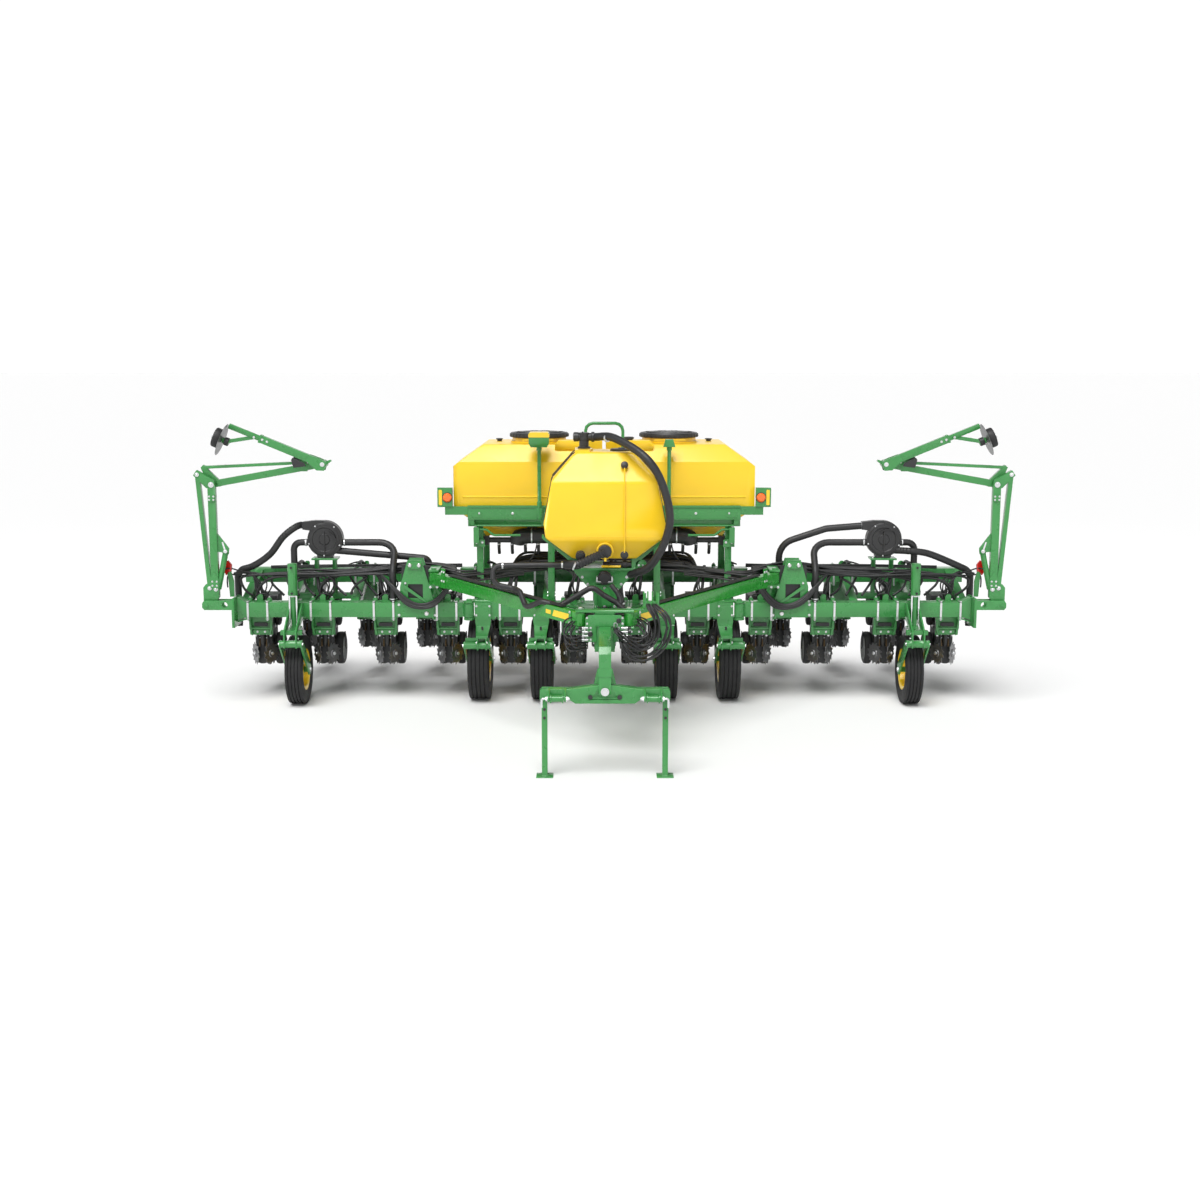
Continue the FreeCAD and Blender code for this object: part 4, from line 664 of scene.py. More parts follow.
def unit_running_gear(rubber, rims, discs, cast, steel):
    """Gauge wheels, opener discs, closing wheels and row cleaners, measured from the bar's back."""
    gauge_y, gauge_z = 590, 540
    toe = math.radians(30)                  # of the row cleaners
    for s in (-1, 1):
        side = (s, 0, 0)
        hub = (0, gauge_y, gauge_z)
        rubber.lathe(hub, side, [(146, 68), (178, 66), (196, 74), (203, 92), (203, 132), (196, 152),
                                 (178, 162), (146, 158)], 28, closed=True)
        rims.lathe(hub, side, [(148, 72), (148, 156), (138, 164), (124, 150), (70, 128), (30, 128), (30, 96),
                               (70, 96), (124, 92)], 24, closed=True)
        steel.bolt(side, 17, 12, (s * 128, gauge_y, gauge_z))
        steel.bolt(side, 8, 6, *around((s * 132, gauge_y, gauge_z), BACK, UP, 52, 5))
        discs.lathe((s * 10, 470, 545), (s, 0.06, 0), [(192, -1), (192, 2), (60, 5), (60, -1)], 32)
        cast.plate([(560, 560), (600, 520), (625, 545), (590, 700), (540, 760), (515, 740)], "x",
                   *sorted((s * 168, s * 180)))
        closer = (s * 40, 990, 507)
        cast.lathe(closer, side, [(118, 4), (118, 22), (60, 16), (24, 22), (24, 4), (60, 10)], 20,
                   closed=True)
        rubber.lathe(closer, side, [(116, 1), (142, 3), (150, 10), (150, 16), (142, 23), (116, 25)], 28,
                     closed=True)
        steel.bolt(side, 13, 10, (s * 64, 990, 507))
        axis = Vector((s * math.cos(toe), -math.sin(toe), 0))
        cleaner = Vector((s * 100, 110, 565)) + axis * 7 - Vector((s * math.sin(toe), math.cos(toe), 0)) * 20
        toothed_disc(discs, cleaner, axis, 141, 12, 7)
        steel.bolt(axis, 18, 12, cleaner + axis * 16)
        steel.bolt(axis, 7, 5, *around(cleaner + axis * 4, axis.cross(Vector(UP)), UP, 36, 5))


def unit_frame(cast, moulded, green, steel, brass):
    """Parallel arms, down-force spring bag, cleaner fork, seed meter, small hopper and closing lever."""
    for s in (-1, 1):
        side = (s, 0, 0)
        for z_bar, z_frame in ((992, 960), (862, 838)):
            cast.plate([(34, z_bar - 20), (60, z_bar + 20), (470, z_frame + 18), (470, z_frame - 18)], "x",
                       *sorted((s * 66, s * 80)))
            steel.bolt(side, 14, 12, (s * 80, 62, z_bar - 2), (s * 80, 452, z_frame))
        cast.plate([(60, 800), (110, 820), (110, 640), (86, 560), (62, 560), (72, 650)], "x",
                   *sorted((s * 52, s * 64)))
        brass.lathe((s * 42, 96, 742), (0, -0.25, -1), spring_profile(14, 92), 12)
        steel.bolt((0, -0.25, 1), 10, 10, (s * 42, 98, 754))
        moulded.lathe((s * 66, 610, 950), side,
                      [(118, 0), (126, 8), (126, 40), (112, 52), (40, 58), (34, 50)], 26)
    cast.lathe((0, 92, 845), (0, -0.1, -1), [(40, 0), (44, 10), (36, 30), (30, 150), (22, 190)], 16)
    cast.plate([(-92, 806), (92, 806), (98, 780), (60, 690), (74, 470), (48, 448), (-48, 448), (-74, 470),
                (-60, 690), (-98, 780)], "y", 100, 111)
    moulded.lathe((0, 250, 905), (0, 0.25, 1), [(52, -70), (58, -52), (46, -34), (58, -16), (46, 0), (58, 16),
                                                (46, 34), (58, 52), (50, 70)], 16)
    moulded.plate([(470, 1084), (690, 1084), (760, 1130), (760, 1216), (470, 1216), (452, 1170)], "x", -112,
                  112)
    moulded.plate([(462, 1216), (768, 1216), (760, 1232), (472, 1232)], "x", -118, 118)
    moulded.tube([(0, 500, 900), (0, 520, 700), (0, 560, 600), (0, 640, 470)], 16, 8, 60)
    brass.lathe((0, 740, 790), (0, 0.8, -0.6), spring_profile(17, 150), 12)
    cast.plate([(700, 760), (790, 770), (800, 752), (720, 700)], "x", -14, 14)
    green.plate([(-96, 832), (96, 832), (96, 872), (-96, 872)], "y", -14, 2)
    steel.bolt(AHEAD, 10, 8, (-92, 100, 786), (-45, 100, 800), (45, 100, 800), (92, 100, 786),
               (-46, -14, 852), (46, -14, 852))


def spring_profile(radius, length, turns=9):
    """Profile of a coil spring as stacked turns."""
    pitch = length / turns
    profile = []
    for s in (pitch * k for k in range(turns)):
        profile += [(radius - 4, s), (radius, s + pitch * 0.3), (radius, s + pitch * 0.6)]
    return profile + [(radius - 4, length)]


def unit_clamps(green, steel, dark, z0, z1):
    """U-bolts round the bar with their clamp blocks, and the saddle under it, whose slot is a black block
    painted as shade.
    """
    front = -BAR
    for s in (-1, 1):
        x = s * 118
        steel.block(x - 12, x + 12, front - 12, front - 2, z0 - 24, z1 + 20)
        steel.block(x - 12, x + 12, front - 12, 8, z1 + 2, z1 + 11)
        steel.block(x - 12, x + 12, front - 12, 8, z0 - 12, z0 - 3)
        green.plate([(x - 26, z1), (x + 26, z1), (x + 26, z1 + 26), (x + 12, z1 + 40), (x - 18, z1 + 40),
                     (x - 26, z1 + 26)], "y", -46, -8)
        green.block(x - 28, x + 28, front - 6, front + 34, z0 - 30, z0, 6)
        steel.bolt(UP, 12, 12, (x, -26, z1 + 40))
        steel.bolt(DOWN, 12, 12, (x, front - 4, z0 - 28))
        green.plate([(s * 132, z0), (s * 140, z0), (s * 140, 900), (s * 112, 812), (s * 100, 812)], "y", -38,
                    0)
    green.plate([(-36, z1), (36, z1), (36, z1 + 60), (22, z1 + 76), (-10, z1 + 76), (-36, z1 + 50)], "y", -20,
                -6)
    # Black block painted as the shade in the saddle's slot, the opening of the parallel arms.
    dark.block(-82, 82, -22, -2, 922, 966, 6)
    green.block(-112, 112, -30, -1, 886, 906)
    if z0 > BAR_LOW:
        green.block(-100, 100, -16, -1, 1010, 1290, 12)         # drop plate of the rear rank


# ---- tanks, lids, lamps, masts and ducts --------------------------------------------------------
def spoke(kit, a, *rings):
    """Rib of a lid in direction a; a ring is its two ends, each a distance, half width and height."""
    c, s = math.cos(a), math.sin(a)
    corners = [((r0, -w0, h0), (r1, -w1, h1), (r1, w1, h1), (r0, w0, h0))
               for (r0, w0, h0), (r1, w1, h1) in rings]
    kit.skin([[(c * r - s * w, s * r + c * w, h) for r, w, h in ring] for ring in corners])


def tank_lids():
    """Ribbed screw lids, with a rim band and a raised middle, and the hinge pin of each."""
    for side, sign in SIDES:
        lid, pin = kits(side + "_lid", side + "_lid_", place=(sign * LID[0], *LID[1:]), plastic="ribbed",
                        steel="hinge_pin")
        lid.lathe((0, 0, 0), UP, [(340, 2), (358, 4), (360, 12), (360, 40), (350, 56), (322, 60), (316, 50),
                                  (250, 54), (244, 66), (60, 74), (20, 75)], 48)
        for k in range(36):
            spoke(lid, math.pi * k / 18, ((356, 7, 8), (366, 5, 8)), ((356, 7, 44), (364, 5, 44)))
        for k in range(8):
            spoke(lid, math.pi * (k + 0.5) / 4, ((90, 8, 66), (300, 8, 48)), ((90, 5, 76), (300, 5, 64)))
        lid.block(-58, 58, 330, 404, 6, 44, 5)
        lid.done(side + "_tank_lid")
        pin.rod((-66, 392, 25), (66, 392, 25), 8)
        pin.done()


def tank_detail():
    """Moulding seam, neck thread and lifting lug of each tank, and its two vents."""
    tank, vents = kits("frame", tank="tank_mouldings", plastic="tank_vents")
    for _ in mirrored(tank, vents):
        tank.plate([(100, 2500), (92, 2506), (92, 2516), (100, 2522)], "x", 60, 1700)
        tank.lathe((800, 780, 3130), UP, [(338, 2), (352, 2), (352, 14), (338, 14)], 40, closed=True)
        tank.plate([(600, 3178), (612, 3190), (980, 3190), (992, 3178)], "y", 250, 300)
        vents.lathe((300, 320, 3176), UP, [(44, 0), (44, 14), (62, 18), (62, 34), (50, 42), (10, 44)], 20)
        vents.lathe((1300, 900, 3130), UP, [(30, 0), (30, 18), (44, 22), (44, 34), (12, 38)], 16)
    done(tank, vents)


def frame_beam_detail():
    """Pressed top rail of the tank beam, end plates, bolts, the rail and bent pipe before the hopper."""
    kit, steel = kits("frame", green="tank_beam_rails", steel="tank_frame_bolts")
    for _ in mirrored(kit, steel):
        kit.block(240, 1640, 34, 46, 2388, 2412, 3)
        kit.block(240, 1640, 36, 46, 2244, 2256, 3)
        kit.plate([(1470, 2284), (1500, 2268), (1590, 2268), (1600, 2284), (1600, 2330), (1470, 2330)], "y",
                  40, 46)
        kit.tube([(1560, 60, 2168), (1180, 60, 2168), (760, 60, 2168)], 11, 8)
        kit.tube([(1555, 74, 2120), (1420, 74, 2120), (1330, 74, 2050), (1010, 74, 2050)], 14, 10, 60)
        kit.block(1505, 1570, 20, 90, 1960, 2150, 6)
        kit.block(610, 668, 104, 150, 1960, 2150, 6)
        kit.plate([(1440, 1905), (1575, 1905), (1575, 2010), (1440, 1990)], "y", 96, 106)
        steel.bolt(AHEAD, 12, 9, *grid((300, 700, 1100, 1500), 44, 2318))
        steel.bolt(AHEAD, 11, 8, *grid((1470, 1540), 94, 1960))
        for end in (-1, 1):                 # feet of the tank's posts, at x 1500 and 640
            steel.bolt((end, 0, 0), 12, 9, *grid((1500 + end * 42, 640 + end * 42), 150, (1300, 1340)))
    done(kit, steel)


def air_ducts():
    """Manifolds ahead of the hoppers, with the pipes that drop from them and their clamps."""
    kit, bands = kits("frame", place=(0, DUCT_Y, DUCT_Z), plastic="air_manifolds", steel="air_manifold_bands")
    for _ in mirrored(kit, bands):
        kit.tube([(300, 0, 0), (760, 0, 0), (900, 0, 0), (1040, -23, -10), (1060, 0, -75)], 96, 22, 150)
        kit.lathe((300, 0, 0), OUT, [(99, 0), (99, 40), (95, 46)], 24)
        kit.tube([(560, 0, -52), (1440, 0, -52)], 34, 14)
        kit.tube([(1440, 0, -52), (1490, 0, -52)], 42, 14)
        for x in range(640, 1440, 160):
            kit.tube([(x, 0, -60), (x, -20, -140), (x, 45, -220)], 20, 10, 60)
            bands.band((x, -8, -108), (0, 0.2, 1), 22, 24, 8, 14)
        for x in (372, 880):
            bands.band((x, 0, 0), OUT, 97, 100, 9, 24)
        kit.block(820, 940, -5, 105, 20, 100, 8)
        kit.block(1400, 1490, -45, 45, -108, -2, 8)
    kit.done("air_ducts")
    bands.done()


def lamps_and_masts():
    """Amber and red lenses with black bezels on the side lamps, and the cap and sleeves of the masts."""
    orange, red, dark, reflector, plate = lamps = kits(
        "frame", place=(LAMP_X, 0, LAMP_Z), orange="amber_lenses", red="red_lenses", plastic="lamp_bezels",
        label="yellow_reflectors", green="lamp_plates")
    for _ in mirrored(*lamps):
        plate.plate([(-84, -106), (60, -106), (84, -86), (84, 88), (60, 108), (-84, 108)], "y", 22, 32)
        dark.lathe((-30, 24, 0), AHEAD, [(62, 0), (62, 6), (54, 8)], 24)
        orange.lathe((-30, 20, 0), AHEAD, [(54, 0), (54, 10), (42, 22), (8, 28)], 24)
        reflector.block(34, 72, 14, 24, -90, 92, 6)
        red.lathe((0, 100, 0), BACK, [(60, -4), (60, 8), (44, 16), (8, 20)], 24)
        dark.block(-84, 84, 95, 104, -106, 108)
    done(*lamps)
    cap = Kit("mast_caps", "frame", "yellow", 1, (-MAST_X, 0, 3234))
    cap.plate([(-124, 0), (124, 0), (124, 32), (107, 60), (-107, 60), (-124, 32)], "y", -97, 107)
    masts = Kit("mast_fittings", "frame", "green", 1, (MAST_X, 15, 2400))
    for _ in mirrored(masts):
        masts.block(-45, 45, 9, 31, -150, -8, 5)
        masts.lathe((0, 0, 0), UP, [(30, 0), (30, 60), (25, 66)], 16)
        masts.lathe((0, 0, 670), UP, [(25, 0), (32, 6), (32, 40), (25, 46)], 16)
    done(cap, masts)


# ---- front tank ---------------------------------------------------------------------------------
def sliced(box, planes):
    """Block cut to the near side of each plane; metres."""
    mesh = bmesh.new()
    bmesh.ops.create_cube(mesh, size=1)
    low, high = box
    for v in mesh.verts:
        v.co = Vector((low[i] if v.co[i] < 0 else high[i]) for i in range(3))
    for point, normal in planes:
        cut = bmesh.ops.bisect_plane(mesh, geom=mesh.verts[:] + mesh.edges[:] + mesh.faces[:], plane_co=point,
                                     plane_no=normal, clear_outer=True)
        edges = [g for g in cut["geom_cut"] if isinstance(g, bmesh.types.BMEdge)]
        if edges:
            bmesh.ops.contextual_create(mesh, geom=edges)
    return mesh


def front_tank():
    """Moulded tank with rounded edges: the front outline and the side outline cut one block."""
    half, bottom = 665, 1990
    right = [(350, bottom), (half - 15, 2237), (half, 2395), (half - 88, 2870), (half - 311, 3128),
             (300, TANK_TOP)]
    side = [(TANK_FACE + 140, bottom), (TANK_FACE, 2210), (TANK_FACE, 2840), (TANK_FACE + 200, TANK_TOP)]
    planes = []
    for (x0, z0), (x1, z1) in zip(right, right[1:]):
        for s in (1, -1):
            planes.append((at(s * x0, 0, z0), Vector((s * (z1 - z0), 0, x0 - x1))))
    for (y0, z0), (y1, z1) in zip(side, side[1:]):
        for s, y in ((1, y0), (-1, 2 * TANK_Y - y0)):
            planes.append((at(0, y, z0), Vector((0, -s * (z1 - z0), y1 - y0))))
    middle = at(0, TANK_Y, 2600)
    outward = [(point, (-normal if (middle - point).dot(normal) > 0 else normal).normalized())
               for point, normal in planes]
    kit = Kit("front_tank_moulded", "frame", "tank")
    kit.mesh.free()
    kit.mesh = sliced((at(-half, TANK_FACE, bottom), at(half, 2 * TANK_Y - TANK_FACE, TANK_TOP)), outward)
    bmesh.ops.dissolve_limit(kit.mesh, angle_limit=math.radians(2), verts=kit.mesh.verts[:],
                             edges=kit.mesh.edges[:])
    obj = kit.done("front_tank")
    round_edges(obj, "moulded_edges", 0.055, 5, 8)
    for edge in obj.data.edges:
        edge.use_edge_sharp = False


def front_tank_fittings():
    """Filler, fill elbow, lid, ports, valve and filter."""
    face, top = TANK_FACE - TANK_Y, TANK_TOP
    moulding, black = kits("frame", place=(0, TANK_Y, 0), tank="front_tank_filler",
                           plastic="front_tank_fittings_moulded")
    port = (4, face - 2, 2091)
    moulding.plate([(-326, face + 220), (-166, face + 220), (-124, 0), (-166, 180), (-326, 180)], "z",
                   top - 40, top + 22)
    moulding.lathe((4, face + 8, 2094), AHEAD, [(94, 0), (90, 10), (82, 13), (74, 8)], 36)
    moulding.plate([(face - 3, 2250), (face + 12, 2238), (face + 12, 2262)], "x", -560, 560)
    moulding.done()
    black.lathe((-228, 0, top + 20), UP, [(70, 0), (70, 22), (54, 26), (54, 100), (62, 104), (62, 176),
                                          (30, 182)], 24)
    black.lathe((-350, 0, top + 150), OUT, [(30, 0), (52, 8), (52, 60), (44, 66), (44, 200), (56, 206),
                                            (56, 236), (47, 240)], 24)
    for ear in (-58, 58):
        black.plate([(-262, top + 160), (-246, top + 206), (-236, top + 206), (-240, top + 160)], "y",
                    ear - 6, ear + 6)
    black.lathe((190, 0, top - 2), UP, [(128, 0), (128, 16), (116, 22), (40, 24), (36, 34), (10, 36)], 36)
    black.lathe(port, AHEAD, [(74, -8), (74, 8), (60, 12), (60, 34), (70, 38), (70, 62), (56, 68)], 24)
    black.lathe((-263, face, 2040), (0, -0.95, -0.3), [(54, -30), (54, 16), (44, 20), (44, 34), (14, 38)], 20)
    black.lathe((217, face + 4, 2050), AHEAD, [(44, 0), (44, 14), (30, 20), (30, 40), (16, 44)], 20)
    black.lathe((217, face + 60, 3030), (0, -0.8, 0.4), [(40, -20), (40, 10), (28, 16), (28, 30), (12, 34)],
                20)
    for p in around(port, OUT, UP, 66, 10):
        black.block(p.x - 8, p.x + 8, face - 62, face - 38, p.z - 8, p.z + 8)
    black.lathe((-18, -260, 1915), OUT, [(36, 0), (36, 70), (46, 74), (46, 110), (38, 114), (38, 220),
                                         (48, 224), (48, 262), (36, 266), (36, 336)], 20)
    black.rod((120, -260, 1940), (120, -260, 1985), 12)
    cup = (0, -420, 1785)
    black.lathe(cup, BACK, [(60, 0), (76, 12), (76, 84), (64, 90), (64, 120)], 24)
    black.lathe(cup, AHEAD, [(60, 0), (52, 8), (20, 10)], 24)
    black.done("front_tank_fittings")


def front_tank_hoses():
    """Fill hose in one sweep, ribbed drain hose, the pipe to the filling hose, clamps and sight tube."""
    face, top = TANK_FACE - TANK_Y, TANK_TOP
    hose, bands, tube, grip = kits("frame", place=(0, TANK_Y, 0), hose="front_tank_hoses",
                                   steel="front_hose_clamps", tank="sight_tube", yellow="yellow_valve_handle")
    hose.tube(smooth([(-115, 0, top + 150), (110, -250, top + 150), (460, face - 60, 3101),
                      (650, face - 75, 2760), (700, face - 70, 2350), (500, face + 30, 1925),
                      (185, -190, 1740), (185, -190, 1425)]), 44, 18, 200, 1.2, 18)
    hose.tube([(4, face - 66, 2091), (-100, face - 66, 2040), (-290, face - 56, 1950), (-420, -250, 1912)],
              42, 16, 60, 9, 34)
    hose.tube([(-300, face - 50, 1945), (-420, -250, 1912), (-1235, -250, 1900), (-1235, -300, 1750)], 31,
              16, 80)
    for place, axis, r in (((-470, -250, 1911), OUT, 33), ((-1130, -250, 1901), OUT, 33),
                           ((-330, face - 45, 1938), (1, 0, -0.4), 46),
                           ((30, -172, top + 150), (1, -1, 0), 46), ((185, -190, 1470), UP, 46)):
        bands.band(place, axis, r - 2, r + 3, 10, 18)
    for s in (-1, 1):
        bands.block(s * 84 - 9, s * 84 + 9, -425, -330, 1752, 1800, 3)
        bands.block(s * 60 - 30, s * 60 + 30, -424, -414, 1740, 1752)
    tube.tube([(217, face - 22, 2070), (217, face - 22, 2300), (217, face - 20, 2830),
               (217, face + 30, 3000)], 7, 10, 60)
    grip.tube([(-35, -350, 1906), (178, -350, 1906)], 13, 12)
    grip.lathe((8, face - 66, 2030), DOWN, [(14, 0), (14, 40)], 10)
    done(hose, bands, tube, grip)


def front_tank_cradle():
    """Straps over the tank, gussets under it, the plates before the post and their bolts."""
    inside = [(300, TANK_TOP + 1), (354, 3129), (579, 2871), (667, 2396), (652, 2234)]
    outside = [(662, 2230), (677, 2396), (588, 2876), (360, 3137), (302, TANK_TOP + 9)]
    strap, green, steel = kits("frame", place=(0, TANK_Y, 0), plastic="tank_straps", green="cradle_gussets",
                               steel="cradle_bolts")
    for _ in mirrored(strap):
        for near in (-170, 190):
            strap.plate(inside + outside, "y", near, near + 44)
    for _ in mirrored(green):
        green.plate([(345, 1880), (352, 1966), (664, 2220), (672, 2250), (690, 2250), (690, 2214),
                     (372, 1948)], "y", -306, -258)
        green.block(338, 352, -320, 300, 1856, 1884, 3)
    green.flip = 1
    green.lathe((402, -296, 1913), AHEAD, [(66, -4), (66, 6), (60, 10), (20, 10)], 28)
    for x0, x1 in ((-96, -82), (96, 82)):
        green.plate([(x0, 1420), (x1, 1420), (x1, 1640), (x0, 1640)], "y", -384, -370)
    arc = [(52 * math.cos(a) + 20, 1500 + 190 * math.sin(a)) for a in (math.pi * k / 12 for k in range(13))]
    green.plate(arc, "y", -520, -504)
    steel.bolt(AHEAD, 11, 9, *grid((-90, 0, 108), -370, (1462, 1668)))
    steel.bolt(AHEAD, 9, 8, *grid((380, 424), -306, 1913))
    for s in (-1, 1):
        steel.bolt(AHEAD, 12, 9, *((s * (110 + (z - 1600) * 0.75), -300, z) for z in (1640, 1700, 1780)))
    done(strap, green, steel)


# ---- tongue, hitch beam and draft links ---------------------------------------------------------
def hitch_detail():
    """Couplings, pins and rollers of the hitch beam and the crosshead, and the hose comb."""
    front = CROSS_Y - 105
    middle, ball_z = HITCH_BALL
    ball_y = HITCH_FACE - 75
    steel, dark, green, bright = parts = kits("tongue", steel="hitch_bolts", plastic="hitch_knobs",
                                              green="hitch_rollers", bright_green="hose_comb_fingers")
    for _ in mirrored(steel, dark, green):
        for z in (1258, 1300, 1342, 1384):
            steel.lathe((175, front - 8, z), (1, -0.15, 0), [(13, 0), (13, 44), (17, 46), (17, 66), (10, 68)],
                        12)
            dark.lathe((243, front - 18, z), (1, -0.15, 0), [(14, 0), (16, 6), (16, 30), (9, 34)], 12)
            steel.bolt(AHEAD, 9, 8, (148, front, z))
        steel.bolt(AHEAD, 9, 8, *grid(186, front, (1430, 1490)))
        for out in (-1, 1):
            steel.bolt((out, 0, 0), 24, 18, (middle + out * 93, ball_y, ball_z))
        steel.lathe((middle - 124, ball_y - 1, ball_z), OUT, [(8, -8), (17, 0), (17, 8), (12, 14)], 14)
        steel.tube([(middle + 118, ball_y, ball_z), (middle + 152, ball_y, ball_z),
                    (middle + 152, ball_y - 3, ball_z - 90)], 11, 10, 24)
        green.lathe((middle - 71, ball_y, ball_z), OUT, [(46, 4), (46, 16), (34, 20), (34, 122), (46, 126),
                                                         (46, 138)], 20)
        dark.lathe((148, HITCH_FACE - 2, ball_z), AHEAD, [(24, 0), (24, 5), (19, 6)], 20)
        for z in (700, 612):
            dark.lathe((610, HITCH_Y - 31, z), AHEAD, [(15, 0), (15, 3), (12, 4)], 14)
        steel.bolt(UP, 22, 16, (254, CROSS_Y, 1572))
        steel.bolt(DOWN, 22, 16, (254, CROSS_Y, 1356))
        green.plate([(62, 955), (62, 1120), (80, 1096), (112, 955)], "y", HITCH_Y - 10, HITCH_Y + 10)
    steel.flip = dark.flip = green.flip = 1
    for x, z in ((-152, 1318), (148, 1462)):
        dark.lathe((x, front, z), AHEAD, [(26, 0), (26, 22), (20, 28)], 18)
    steel.bolt(AHEAD, 32, 22, (0, HITCH_FACE - 36, 893))
    steel.tube([(96, front - 6, 1330), (96, front - 16, 1440), (130, front - 16, 1440),
                (130, front - 6, 1400)], 5, 8, 18)
    green.block(-92, 92, CROSS_Y - 100, CROSS_Y - 60, 1395, 1425, 6)
    green.plate([(-64, 1040), (64, 1040), (74, 1130), (-74, 1130)], "y", HITCH_Y - 84, HITCH_Y - 78)
    for x in (403, 446, 494, 540):
        bright.block(x, x + 14, CROSS_Y - 62, CROSS_Y - 42, 1640, 1764, 3)
    bright.block(398, 578, CROSS_Y - 66, CROSS_Y - 40, 1592, 1612, 3)
    done(*parts)
    tube, bolts = kits("frame", green="tongue_bands", steel="tongue_wear_bolts")
    for y in (-2310, -1900, -960, -420):
        tube.block(-112, 112, y, y + 36, 1112, 1428, 8)
    for s in (1, -1):
        bolts.bolt((s, 0, 0), 13, 10, *grid(s * 112, (-2292, -1882, -942), (1180, 1360)))
    done(tube, bolts)


def link_detail():
    """Blank labels, end caps, clip plates, hose clips and hoses of the draft links."""
    start = Vector(LINK_START)
    run = Vector(LINK_END) - start
    length = run.length
    along = run.normalized()
    front = Vector((along.y, -along.x, 0)).normalized()
    up = front.cross(along) if front.cross(along).z > 0 else along.cross(front)

    def on_face(s, h, depth=0.0):
        """Point at a distance along the link, a height on it and a depth before its middle."""
        return start + along * s + up * h + front * depth

    def plate(kit, s0, s1, h0, h1, thick, lean=0):
        """Thin plate on the link's front face."""
        corners = ((s0, h0), (s1 + lean, h0), (s1, h1), (s0 - lean, h1))
        kit.skin([[on_face(s, h, depth) for s, h in corners] for depth in (55.5, 55.5 + thick)])

    for side, sign in SIDES:
        body = side + "_link"
        label, trim, steel, dark = parts = kits(body, side + "_", sign, label="blank_labels",
                                                bright_green="link_plates", steel="link_bolts",
                                                plastic="link_hose_clips")
        plate(label, 150, 400, -34, 34, 1.6, 26)
        plate(label, 455, 545, -22, 22, 1.6)
        plate(trim, 90, 130, -72, 78, 8)
        plate(trim, length - 330, length - 250, -74, 160, 8)
        plate(trim, 560, length - 380, 58, 66, 5)
        steel.bolt(front, 11, 9, *(on_face(s, h, 63) for s, h in
                                   ((length - 312, 120), (length - 268, 120), (length - 312, 10),
                                    (length - 268, 10), (110, 60), (110, -55))))
        for s in range(640, int(length) - 420, 260):
            p = on_face(s, 70)
            dark.block(p.x - 16, p.x + 16, p.y - 34, p.y + 34, p.z, p.z + 26, 6)
        done(*parts)
        hoses = Harness(side + "_link_hoses", body, 11, sign)
        for depth in (24, 0, -24):
            hoses.lay([on_face(s, 88 + sag, depth) for s, sag in
                       ((300, 0), (520, 4), (760, 2), (1020, 6), (1300, 2), (1600, 4), (length - 360, 0))])
        hoses.done()


# ---- wings: fans, air pipes, flex hinge and bar fittings ----------------------------------------
def fan(side, sign):
    """Moulded volute with its cover ribs, outlet throat and motor; both top outlets point the same way."""
    kit, motor, bolts = kits(side + "_wing", side + "_fan_", place=(sign * FAN_X, FAN_Y, FAN_Z),
                             plastic="volute", casting="motor", steel="bolts")
    spiral = []
    for turn in (k / 36 for k in range(37)):
        a = math.pi / 2 - 2 * math.pi * turn
        r = 205 + 22 * turn
        spiral.append((-r * math.cos(a), r * math.sin(a)))
    kit.skin([[(x * size, y, z * size) for x, z in spiral]
              for size, y in ((0.86, -76), (1, -60), (1, 60), (0.86, 76))])
    kit.plate([(-40, 92), (-150, 104), (-268, 120), (-268, 212), (-120, 228), (0, 227)], "y", -52, 52)
    kit.lathe((0, -74, 0), AHEAD, [(186, 0), (182, 8), (150, 12), (140, 4), (70, 3), (60, 12), (20, 14)], 40)
    for k in range(5):
        a = math.pi / 2 + sign * 0.5 - k * 0.32
        rib = ((96, a), (104, a - 0.34), (116, a - 0.34), (108, a))
        kit.plate([((r + 14 * k) * math.cos(t), (r + 14 * k) * math.sin(t)) for r, t in rib], "y", -100, -74)
    kit.block(-6, 6, -102, -74, -176, 96, 3)
    kit.block(-96, 96, -64, 64, -229, -176, 14)
    kit.done(side + "_blower")
    motor.lathe((0, 74, 0), BACK, [(100, -6), (100, 6), (80, 12), (80, 60), (62, 66), (58, 92), (30, 98)], 24)
    bolts.bolt(AHEAD, 7, 6, *around((0, -74, 0), OUT, UP, 197, 5, 0.9))
    bolts.bolt(UP, 12, 9, *grid((-130, 130), -80, -228))
    done(motor, bolts)


